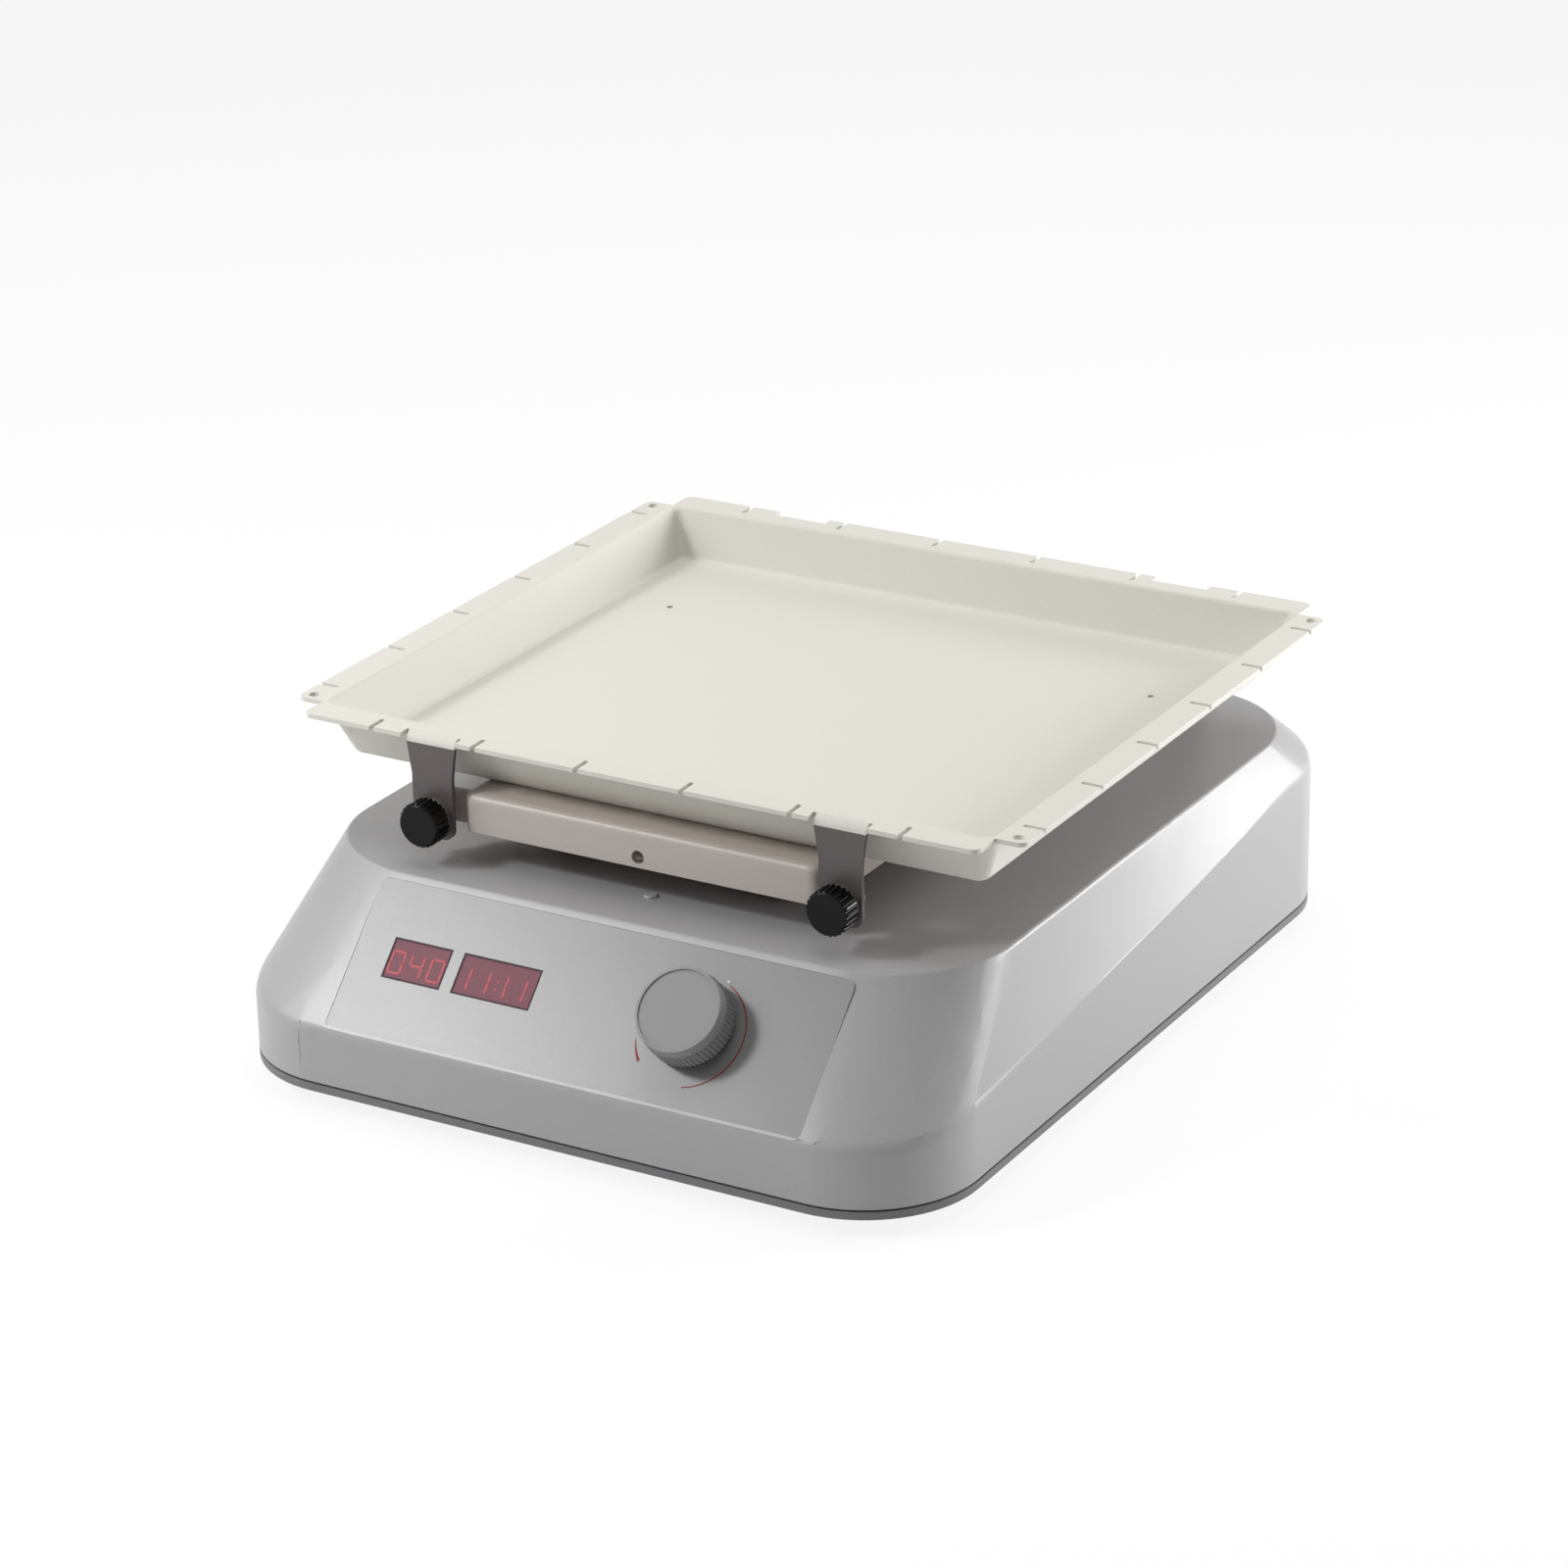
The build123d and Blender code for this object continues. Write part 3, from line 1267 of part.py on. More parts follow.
motor_plate_top = motor_top + motor_plate_thickness
with BuildPart() as motor_screws:
    for places, length in ((motor_post_places, motor_bolt_length), (motor_screw_places, motor_screw_length)):
        with BuildSketch(Plane.XY.offset(motor_plate_top)):
            with Locations(*places):
                Circle(motor_head_radius)
        extrude(amount=motor_head_height)
        with BuildSketch(Plane.XY.offset(motor_plate_top)):
            with Locations(*places):
                Circle(bolt_radius)
        extrude(amount=-length)
motor_screws.part.label = "motor_screws"
export_step(motor_screws.part, "parts/motor_screws.step")

with BuildPart() as motor_can:
    with BuildSketch(Plane.XY.offset(motor_bottom)):
        with Locations((motor_x, motor_y)):
            Circle(motor_radius)
    extrude(amount=motor_height)
    fillet(motor_can.faces().sort_by(Axis.Z)[0].edges(), 2)
    with BuildSketch(Plane.XY.offset(motor_top)):
        with Locations((motor_x, motor_y)):
            Circle(motor_shaft_boss)
    extrude(amount=motor_plate_thickness)
    with BuildSketch(Plane.XY.offset(motor_bottom + motor_wall)):
        with Locations((motor_x, motor_y)):
            Circle(motor_radius - motor_wall)
    extrude(amount=motor_height - 2 * motor_wall, mode=Mode.SUBTRACT)
    with BuildSketch(Plane.XY.offset(motor_bottom)):
        with Locations((motor_x, motor_y)):
            Circle(motor_shaft_radius + running_gap)
        with Locations(*motor_screw_places):
            Circle(bolt_radius + running_gap)
    extrude(amount=motor_height + motor_plate_thickness, mode=Mode.SUBTRACT)
    with BuildSketch(Plane.XY.offset(motor_bottom)):
        with Locations((motor_x, motor_y)):
            Circle(motor_shaft_boss)
        with Locations(*motor_screw_places):
            Circle(motor_shaft_radius)
    extrude(amount=motor_wall)
motor_can.part.label = "motor_can"
export_step(motor_can.part, "parts/motor_can.step")

rotor_bottom = motor_bottom + motor_wall + motor_end_gap
rotor_length = motor_height - 2 * (motor_wall + motor_end_gap)
with BuildPart() as motor_stator:
    with BuildSketch(Plane.XY.offset(rotor_bottom)):
        with Locations((motor_x, motor_y)):
            Circle(motor_radius - motor_wall - running_gap)
            Circle(motor_rotor_radius + motor_air_gap, mode=Mode.SUBTRACT)
    extrude(amount=rotor_length)
motor_stator.part.label = "motor_stator"
export_step(motor_stator.part, "parts/motor_stator.step")

with BuildPart() as motor_rotor:
    with BuildSketch(Plane.XY.offset(rotor_bottom)):
        with Locations((motor_x, motor_y)):
            Circle(motor_rotor_radius)
            Circle(motor_shaft_radius + running_gap, mode=Mode.SUBTRACT)
    extrude(amount=rotor_length)
motor_rotor.part.label = "motor_rotor"
export_step(motor_rotor.part, "parts/motor_rotor.step")

with BuildPart() as motor_shaft:
    with BuildSketch(Plane.XY.offset(motor_bottom + motor_wall)):
        with Locations((motor_x, motor_y)):
            Circle(motor_shaft_radius)
    extrude(amount=pulley_bottom + pulley_width + motor_shaft_tip - motor_bottom - motor_wall)
    chamfer(motor_shaft.faces().sort_by(Axis.Z)[-1].edges(), motor_shaft_tip / 2)
motor_shaft.part.label = "motor_shaft"
export_step(motor_shaft.part, "parts/motor_shaft.step")

motor_pulley = pulley((motor_x, motor_y), motor_pulley_radius, motor_shaft_radius)
motor_pulley.label = "motor_pulley"
export_step(motor_pulley, "parts/motor_pulley.step")

with BuildPart() as drive_belt:
    with BuildSketch(Plane.XY.offset(belt_bottom)):
        add(belt_outline(belt_gap + belt_thickness))
        add(belt_outline(belt_gap), mode=Mode.SUBTRACT)
    extrude(amount=belt_width)
drive_belt.part.label = "drive_belt"
export_step(drive_belt.part, "parts/drive_belt.step")

# Carrier: an inverted folded pan with a slot at each end of a clamp bar
with BuildPart() as carrier_pan:
    with BuildSketch(Plane.XY.offset(carrier_bottom)):
        with Locations((0, tray_y)):
            RectangleRounded(carrier_width, carrier_length, carrier_corner_radius)
    extrude(amount=carrier_depth)
    fillet(carrier_pan.faces().sort_by(Axis.Z)[-1].edges(), carrier_bend_radius)
    with BuildSketch(Plane.XY.offset(carrier_bottom)):
        with Locations((0, tray_y)):
            RectangleRounded(
                carrier_width - 2 * carrier_sheet,
                carrier_length - 2 * carrier_sheet,
                carrier_corner_radius - carrier_sheet,
            )
    extrude(amount=carrier_depth - carrier_sheet, mode=Mode.SUBTRACT)
    with BuildSketch(Plane.XZ.offset(carrier_length / 2 - tray_y + 1)):
        with Locations((0, carrier_top - carrier_front_hole_drop)):
            Circle(carrier_front_hole_radius)
    extrude(amount=-carrier_sheet - 2, mode=Mode.SUBTRACT)
    with BuildSketch(Plane.YZ.offset(-carrier_width / 2 - 1)):
        with Locations(*[(y, bar_level) for x, y in bar_places]):
            Rectangle(clamp_bar_thickness + 2 * running_gap, clamp_bar_height + running_gap)
    extrude(amount=carrier_width + 2, mode=Mode.SUBTRACT)
carrier_pan.part.label = "carrier_pan"
export_step(carrier_pan.part, "parts/carrier_pan.step")

# Cups under the carrier that hold the crank pin bearings
cup_top = carrier_top - carrier_sheet
bearing_cup_bottom = carrier_bearing_top - small_bearing_width - cup_lip
with BuildPart() as bearing_cups:
    with BuildSketch(Plane.XY.offset(cup_top)):
        with Locations(*pin_places):
            Circle(cup_flange_radius)
    extrude(amount=-cup_flange_thickness)
    with BuildSketch(Plane.XY.offset(cup_top)):
        with Locations(*pin_places):
            Circle(cup_radius)
    extrude(amount=bearing_cup_bottom - cup_top)
    with BuildSketch(Plane.XY.offset(bearing_cup_bottom)):
        with Locations(*pin_places):
            Circle(small_bearing_radius + running_gap)
    extrude(amount=carrier_bearing_top - bearing_cup_bottom, mode=Mode.SUBTRACT)
    with BuildSketch(Plane.XY.offset(carrier_bearing_top)):
        with Locations(*pin_places):
            Circle(small_bearing_radius - bearing_step)
    extrude(amount=cup_top - carrier_bearing_top, mode=Mode.SUBTRACT)
bearing_cups.part.label = "bearing_cups"
export_step(bearing_cups.part, "parts/bearing_cups.step")

pin_bore = crank_pin_radius + running_gap
carrier_bearings = bearings(
    pin_places,
    pin_bore,
    small_bearing_radius,
    small_bearing_width,
    carrier_bearing_top - small_bearing_width,
)
carrier_bearings.label = "carrier_bearings"
export_step(carrier_bearings, "parts/carrier_bearings.step")

# Clamp bars across the carrier, with a threaded bush welded on behind each tab
bush_length = tab_reach - tray_sheet - bar_y - clamp_bar_thickness / 2
with BuildPart() as clamp_bars:
    with BuildSketch(Plane.XY.offset(cup_top - clamp_bar_height)):
        with Locations(*bar_places):
            Rectangle(2 * clamp_bar_half_length, clamp_bar_thickness)
    extrude(amount=clamp_bar_height)
    for side_x in (-1, 1):
        for side_y in (-1, 1):
            with BuildSketch(thumb_plane(side_x, side_y, -tray_sheet)):
                Circle(clamp_bush_radius)
            extrude(amount=-bush_length)
            with BuildSketch(thumb_plane(side_x, side_y, -tray_sheet)):
                Circle(thumb_screw_radius + running_gap)
            extrude(amount=-bush_length - clamp_bar_thickness, mode=Mode.SUBTRACT)
clamp_bars.part.label = "clamp_bars"
export_step(clamp_bars.part, "parts/clamp_bars.step")

# Tray: leaning walls, loose lips with notches and holes, and the tabs
tray_wall = tray_sheet * hypot(tray_depth, tray_wall_lean) / tray_depth
floor_lean = tray_wall_lean * (1 - tray_sheet / tray_depth)
lip_outer_x = tray_inner_width / 2 + lip_width
lip_outer_y = tray_inner_depth / 2 + lip_width
notches_x = [notch_pitch * (step - (notch_count - 1) / 2) for step in range(notch_count)]
with BuildPart() as tray:
    with BuildSketch(Plane.XY.offset(carrier_top)):
        with Locations((0, tray_y)):
            RectangleRounded(
                tray_inner_width + 2 * (tray_wall - tray_wall_lean),
                tray_inner_depth + 2 * (tray_wall - tray_wall_lean),
                tray_corner_radius + tray_wall,
            )
    with BuildSketch(Plane.XY.offset(tray_top)):
        with Locations((0, tray_y)):
            RectangleRounded(
                tray_inner_width + 2 * tray_wall,
                tray_inner_depth + 2 * tray_wall,
                tray_corner_radius + tray_wall,
            )
    loft(ruled=True)
    fillet(tray.faces().sort_by(Axis.Z)[0].edges(), tray_floor_bend + tray_sheet)
    with BuildSketch(Plane.XY.offset(tray_top - tray_sheet)):
        with Locations((0, tray_y)):
            Rectangle(2 * lip_end_x, 2 * lip_outer_y)
            Rectangle(2 * lip_outer_x, 2 * lip_end_y)
    extrude(amount=tray_sheet)
    corners = tray.edges().filter_by(Axis.Z).filter_by(
        lambda edge: abs(edge.center().X) > lip_end_x - 1 and abs(edge.center().Y - tray_y) > lip_end_y - 1
    )
    outer_corners = corners.filter_by(
        lambda edge: abs(edge.center().X) > lip_outer_x - 1
        or abs(edge.center().Y - tray_y) > lip_outer_y - 1
    )
    fillet(outer_corners, lip_end_radius)
    with BuildPart(mode=Mode.PRIVATE) as hollow:
        with BuildSketch(Plane.XY.offset(carrier_top + tray_sheet)):
            with Locations((0, tray_y)):
                RectangleRounded(
                    tray_inner_width - 2 * floor_lean,
                    tray_inner_depth - 2 * floor_lean,
                    tray_corner_radius,
                )
        with BuildSketch(Plane.XY.offset(tray_top)):
            with Locations((0, tray_y)):
                RectangleRounded(tray_inner_width, tray_inner_depth, tray_corner_radius)
        loft(ruled=True)
        fillet(hollow.faces().sort_by(Axis.Z)[0].edges(), tray_floor_bend)
    add(hollow.part, mode=Mode.SUBTRACT)
    top_edges = tray.edges().filter_by_position(Axis.Z, tray_top - 0.01, tray_top + 0.01)
    rim = top_edges.filter_by(
        lambda edge: abs(edge.center().X) < tray_inner_width / 2 + 0.1
        and abs(edge.center().Y - tray_y) < tray_inner_depth / 2 + 0.1
    )
    fillet(rim, tray_rim_bend)
    with BuildSketch(Plane.XY.offset(tray_top - tray_sheet)):
        for side_y in (-1, 1):
            for x in notches_x:
                with Locations((x, tray_y + side_y * lip_outer_y)):
                    SlotOverall(2 * notch_length, notch_width, rotation=90)
            for x in (-tab_x, tab_x):
                with Locations((x, tray_y + side_y * (lip_outer_y - tab_relief_depth / 2))):
                    Rectangle(tab_width + 2 * tab_relief_width, tab_relief_depth)
        for side_x in (-1, 1):
            for y in notches_x:
                with Locations((side_x * lip_outer_x, tray_y + y)):
                    SlotOverall(2 * notch_length, notch_width)
        with Locations(*corner_places(0, tray_y, 2 * lip_hole_x, 2 * lip_hole_y)):
            Circle(lip_hole_radius)
    extrude(amount=tray_sheet, mode=Mode.SUBTRACT)
    with BuildSketch(Plane.XY.offset(carrier_top)):
        with Locations((-floor_hole_x, tray_y + floor_hole_y), (floor_hole_x, tray_y + floor_hole_y)):
            Circle(floor_hole_radius)
    extrude(amount=tray_sheet, mode=Mode.SUBTRACT)
    for side_x in (-1, 1):
        for side_y in (-1, 1):
            add(tray_tab(side_x * tab_x, side_y))
tray.part.label = "tray"
export_step(tray.part, "parts/tray.step")

# Thumb screws: a knob moulded on each screw, and a washer against the tab
screw_length = tray_sheet + bush_length + clamp_bar_thickness + thumb_screw_tail
thumb_level = thumb_washer_thickness + thumb_collar_height
for end, side_y in (("front", -1), ("rear", 1)):
    for side, side_x in (("left", -1), ("right", 1)):
        with BuildPart() as washer:
            with BuildSketch(thumb_plane(side_x, side_y, 0)):
                Circle(thumb_washer_radius)
                Circle(thumb_screw_radius + running_gap, mode=Mode.SUBTRACT)
            extrude(amount=thumb_washer_thickness)
        washer.part.label = f"thumb_washer_{end}_{side}"
        export_step(washer.part, f"parts/thumb_washer_{end}_{side}.step")

        with BuildPart() as thumb_screw:
            with BuildSketch(thumb_plane(side_x, side_y, thumb_level)):
                Circle(thumb_radius)
            extrude(amount=thumb_height)
            outer_face = thumb_screw.faces().sort_by(Axis.Y)[-1 if side_y > 0 else 0]
            chamfer(outer_face.edges(), thumb_chamfer)
            with BuildSketch(thumb_plane(side_x, side_y, thumb_level)):
                with PolarLocations(thumb_radius, thumb_flute_count):
                    Circle(thumb_flute_radius)
            extrude(amount=thumb_height, mode=Mode.SUBTRACT)
            with BuildSketch(thumb_plane(side_x, side_y, thumb_washer_thickness)):
                Circle(thumb_collar_radius)
            extrude(amount=thumb_collar_height)
            with BuildSketch(thumb_plane(side_x, side_y, thumb_washer_thickness)):
                Circle(thumb_screw_radius)
            extrude(amount=-thumb_washer_thickness - screw_length)
        thumb_screw.part.label = f"thumb_screw_{end}_{side}"
        export_step(thumb_screw.part, f"parts/thumb_screw_{end}_{side}.step")
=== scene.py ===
import math

import bmesh
import bpy
from mathutils import Matrix, Vector
from mathutils.bvhtree import BVHTree


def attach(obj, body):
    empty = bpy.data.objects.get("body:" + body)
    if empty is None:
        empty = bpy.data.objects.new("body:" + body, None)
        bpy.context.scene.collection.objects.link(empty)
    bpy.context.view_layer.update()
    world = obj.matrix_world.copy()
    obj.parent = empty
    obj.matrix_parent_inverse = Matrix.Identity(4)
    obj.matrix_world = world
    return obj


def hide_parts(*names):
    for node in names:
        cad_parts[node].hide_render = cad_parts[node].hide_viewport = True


# Bench orbital shaker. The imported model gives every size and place, in metres, with the floor at z = 0
# and the operator at -Y.

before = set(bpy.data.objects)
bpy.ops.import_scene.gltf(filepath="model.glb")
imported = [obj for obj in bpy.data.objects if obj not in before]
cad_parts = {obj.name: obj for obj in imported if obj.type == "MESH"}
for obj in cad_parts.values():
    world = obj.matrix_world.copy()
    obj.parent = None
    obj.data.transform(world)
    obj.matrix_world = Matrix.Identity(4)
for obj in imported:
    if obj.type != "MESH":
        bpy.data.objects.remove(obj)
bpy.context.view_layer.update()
print("frame loaded,", len(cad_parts), "nodes")


# Tools for materials

def addNode(material, kind, place, **settings):
    node = material.node_tree.nodes.new(kind)
    node.location = place
    for key, value in settings.items():
        setattr(node, key, value)
    return node


def link(material, fromSocket, toSocket):
    material.node_tree.links.new(fromSocket, toSocket)


def addGrain(material, color, grain, stretch):
    # noise on object coordinates that varies roughness, height and lightness a little
    scale, lowRoughness, highRoughness, height, shade = grain
    shader = material.node_tree.nodes["Principled BSDF"]
    coordinates = addNode(material, "ShaderNodeTexCoord", (-1200, 0))
    mapping = addNode(material, "ShaderNodeMapping", (-1000, 0))
    mapping.inputs["Scale"].default_value = stretch
    link(material, coordinates.outputs["Object"], mapping.inputs["Vector"])
    noise = addNode(material, "ShaderNodeTexNoise", (-800, 0))
    noise.inputs["Scale"].default_value = scale
    noise.inputs["Detail"].default_value = 3
    link(material, mapping.outputs["Vector"], noise.inputs["Vector"])
    spread = addNode(material, "ShaderNodeMapRange", (-500, 0))
    spread.inputs["From Min"].default_value = 0.3
    spread.inputs["From Max"].default_value = 0.7
    spread.inputs["To Min"].default_value = lowRoughness
    spread.inputs["To Max"].default_value = highRoughness
    link(material, noise.outputs["Fac"], spread.inputs["Value"])
    link(material, spread.outputs["Result"], shader.inputs["Roughness"])
    if height:
        bump = addNode(material, "ShaderNodeBump", (-500, -300))
        bump.inputs["Strength"].default_value = height
        bump.inputs["Distance"].default_value = 0.0004
        link(material, noise.outputs["Fac"], bump.inputs["Height"])
        link(material, bump.outputs["Normal"], shader.inputs["Normal"])
    if shade:
        ramp = addNode(material, "ShaderNodeValToRGB", (-500, 300))
        for element, position, change in zip(ramp.color_ramp.elements, (0.35, 0.65), (-shade, shade)):
            element.position = position
            element.color = (*[min(1, part * (1 + change)) for part in color], 1)
        link(material, noise.outputs["Fac"], ramp.inputs["Fac"])
        link(material, ramp.outputs["Color"], shader.inputs["Base Color"])


def newMaterial(name, settings):
    material = bpy.data.materials.new(name)
    material.use_nodes = True
    inputs = material.node_tree.nodes["Principled BSDF"].inputs
    inputs["Base Color"].default_value = (*settings["color"], 1)
    inputs["Metallic"].default_value = settings.get("metallic", 0)
    inputs["Specular IOR Level"].default_value = settings.get("specular", 0.5)
    if "glow" in settings:
        inputs["Emission Color"].default_value = (*settings["glow"], 1)
        inputs["Emission Strength"].default_value = settings["glowStrength"]
    addGrain(material, settings["color"], settings["grain"], settings.get("stretch", (1, 1, 1)))
    return material


# Finishes. grain is the size of the noise, then the lowest and highest roughness, the height and the shade

finishes = {
    "silverPaint": {"color": (0.36, 0.355, 0.36), "grain": (1400, 0.32, 0.4, 0.1, 0.03)},
    "trayPaint": {"color": (0.64, 0.625, 0.57), "grain": (1100, 0.52, 0.64, 0.15, 0.015), "specular": 0.3},
    "carrierPaint": {"color": (0.47, 0.42, 0.385), "grain": (1100, 0.32, 0.44, 0.15, 0.03)},
    # painted shade: the tabs' dark colour stands for the shade on them, the real tabs have the tray's pale
    # colour
    "tabPaintedShade": {"color": (0.1, 0.083, 0.085), "grain": (1100, 0.32, 0.44, 0.15, 0.03)},
    "panelFilm": {"color": (0.2, 0.2, 0.2), "grain": (900, 0.28, 0.33, 0.05, 0.02), "specular": 0.4},
    # the windows' dark red tint, lightened to a mauve that is painted reflection of the lamps
    "smokedWindowWithPaintedSheen": {"color": (0.19, 0.07, 0.088), "grain": (700, 0.36, 0.44, 0.01, 0.05), "specular": 0.1},
    "darkPlastic": {"color": (0.02, 0.02, 0.021), "grain": (1500, 0.33, 0.47, 0.1, 0)},
    "blackGloss": {"color": (0.003, 0.003, 0.003), "grain": (700, 0.14, 0.22, 0.02, 0), "specular": 0.16},
    "knobGrey": {"color": (0.24, 0.24, 0.24), "grain": (1600, 0.46, 0.56, 0.08, 0), "specular": 0.35},
    "greenBoard": {"color": (0.02, 0.12, 0.05), "grain": (300, 0.3, 0.4, 0.02, 0.1)},
    "zincSteel": {"color": (0.6, 0.6, 0.58), "grain": (500, 0.25, 0.4, 0.02, 0.05), "metallic": 1},
    "groundSteel": {
        "color": (0.55, 0.55, 0.55), "grain": (400, 0.24, 0.36, 0.02, 0.04), "metallic": 1, "stretch": (1, 1, 8),
    },
    "greyPlate": {"color": (0.16, 0.16, 0.165), "grain": (1300, 0.42, 0.55, 0.12, 0.04)},
    "castAluminium": {"color": (0.6, 0.6, 0.61), "grain": (900, 0.35, 0.5, 0.15, 0.06), "metallic": 1},
    "motorPaint": {"color": (0.03, 0.03, 0.033), "grain": (700, 0.3, 0.4, 0.05, 0)},
    "blackRubber": {"color": (0.016, 0.016, 0.016), "grain": (900, 0.7, 0.85, 0.2, 0)},
    "plugPlastic": {"color": (0.38, 0.38, 0.38), "grain": (900, 0.35, 0.45, 0.05, 0)},
    "contactBrass": {"color": (0.7, 0.52, 0.24), "grain": (600, 0.25, 0.38, 0.02, 0.05), "metallic": 1},
    "redInk": {"color": (0.22, 0.012, 0.02), "grain": (900, 0.36, 0.44, 0, 0.05), "specular": 0.2},
    "whiteInk": {"color": (0.7, 0.7, 0.68), "grain": (900, 0.4, 0.5, 0, 0.02)},
    # painted shadow: the dark line that falls along the edge of each display window
    "windowEdgeShadow": {"color": (0.045, 0.022, 0.032), "grain": (900, 0.36, 0.44, 0, 0.05), "specular": 0.1},
    "redLight": {
        "color": (0.32, 0.07, 0.085), "grain": (600, 0.3, 0.4, 0, 0.05), "specular": 0.1,
        "glow": (0.5, 0.05, 0.07), "glowStrength": 0.22,
    },
}

thumbPlaces = ("front_left", "front_right", "rear_left", "rear_right")
dressedNodes = {
    "carrierPaint": ("carrier_pan", "bearing_cups", "clamp_bars"),
    "panelFilm": ("panel_overlay",),
    "smokedWindowWithPaintedSheen": ("display_windows",),
    "darkPlastic": ("display_modules", "power_switch_frame", "power_rocker", "mains_inlet"),
    "blackGloss": ["thumb_screw_" + place for place in thumbPlaces],
    "knobGrey": ("speed_knob",),
    "greenBoard": ("control_board", "power_board"),
    "zincSteel": [
        "base_screws", "board_screws", "rear_screws", "tower_bolts", "motor_screws", "counterweight_bolts",
        "encoder_nut", "encoder_plunger", "encoder_shaft", "power_board_posts", "motor_posts",
    ] + ["thumb_washer_" + place for place in thumbPlaces],
    "groundSteel": (
        "drive_crank", "idler_crank_left", "idler_crank_right", "idler_crank_rear", "motor_shaft",
        "tower_bearings", "carrier_bearings",
    ),
    "greyPlate": ("base_plate", "rear_panel", "motor_plate", "counterweight"),
    "castAluminium": ("drive_tower", "idler_towers", "drive_pulley", "motor_pulley"),
    "motorPaint": ("motor_can", "motor_stator", "motor_rotor"),
    "blackRubber": ("rubber_feet", "crank_seals", "drive_belt"),
    "plugPlastic": ("top_plug", "encoder_body", "power_parts"),
    "contactBrass": ("inlet_pins", "switch_terminals"),
}

materials = {name: newMaterial(name, settings) for name, settings in finishes.items()}
for finishName, nodeNames in dressedNodes.items():
    for nodeName in nodeNames:
        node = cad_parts[nodeName]
        node.data.materials.clear()
        node.data.materials.append(materials[finishName])
print("materials set,", len(materials))


# Tools for pieces

def startAlone():
    if bpy.context.object and bpy.context.object.mode != "OBJECT":
        bpy.ops.object.mode_set(mode="OBJECT")
    bpy.ops.object.select_all(action="DESELECT")


def selectIn(piece, kind, test):
    # selects the verts, edges or faces of the piece that pass the test, in edit mode
    bpy.ops.mesh.select_mode(type=kind)
    bpy.ops.mesh.select_all(action="DESELECT")
    form = bmesh.from_edit_mesh(piece.data)
    form.normal_update()
    for part in {"VERT": form.verts, "EDGE": form.edges, "FACE": form.faces}[kind]:
        part.select_set(bool(test(part)))
    form.select_flush_mode()
    bmesh.update_edit_mesh(piece.data)


def copyOfNode(node, name):
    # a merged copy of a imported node, left selected and in edit mode
    startAlone()
    piece = bpy.data.objects.new(name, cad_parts[node].data.copy())
    bpy.context.scene.collection.objects.link(piece)
    piece.select_set(True)
    bpy.context.view_layer.objects.active = piece
    if piece.data.has_custom_normals:
        bpy.ops.mesh.customdata_custom_splitnormals_clear()
    bpy.ops.object.mode_set(mode="EDIT")
    bpy.ops.mesh.select_all(action="SELECT")
    bpy.ops.mesh.remove_doubles(threshold=0.000001)
    return piece


def finishPiece(piece, material, body, smoothAngle=30, weighted=True):
    if piece.mode != "OBJECT":
        bpy.ops.object.mode_set(mode="OBJECT")
    bpy.ops.object.select_all(action="DESELECT")
    piece.select_set(True)
    bpy.context.view_layer.objects.active = piece
    bpy.ops.object.transform_apply(location=True, rotation=True, scale=True)
    bpy.ops.object.shade_smooth_by_angle(angle=math.radians(smoothAngle))
    if weighted:
        bpy.ops.object.modifier_add(type="WEIGHTED_NORMAL")
        piece.modifiers[-1].keep_sharp = True
        bpy.ops.object.modifier_apply(modifier=piece.modifiers[-1].name)
    piece.data.materials.clear()
    piece.data.materials.append(material)
    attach(piece, body)
    return piece


# The front slope as a drawing board: x across, y up from the crease, z out of the housing

slope = {
    "crease": (0, -0.2045, 0.0375),
    "across": (1, 0, 0), "up": (0, 0.69705, 0.71702), "out": (0, -0.71702, 0.69705),
}
filmLevel = -0.00019  # the faces of the film and of the windows, a hair above them so that marks don't flicker
windowLevel = -0.00038


def ontoSlope(piece):
    # takes a piece drawn on the board to its place on the housing
    turn = Matrix((slope["across"], slope["up"], slope["out"])).transposed().to_4x4()
    piece.matrix_world = Matrix.Translation(slope["crease"]) @ turn @ piece.matrix_world


# Housing with a rounded crease all round

housingSettings = {
    "creaseWidth": 0.0036, "frontShare": 0.28, "segments": 5,
    "lowest": 0.036, "highest": 0.08, "mostOutside": 0.00003,
    "frontBefore": -0.2044,  # the crease is narrow there, because the panel starts just above it
}


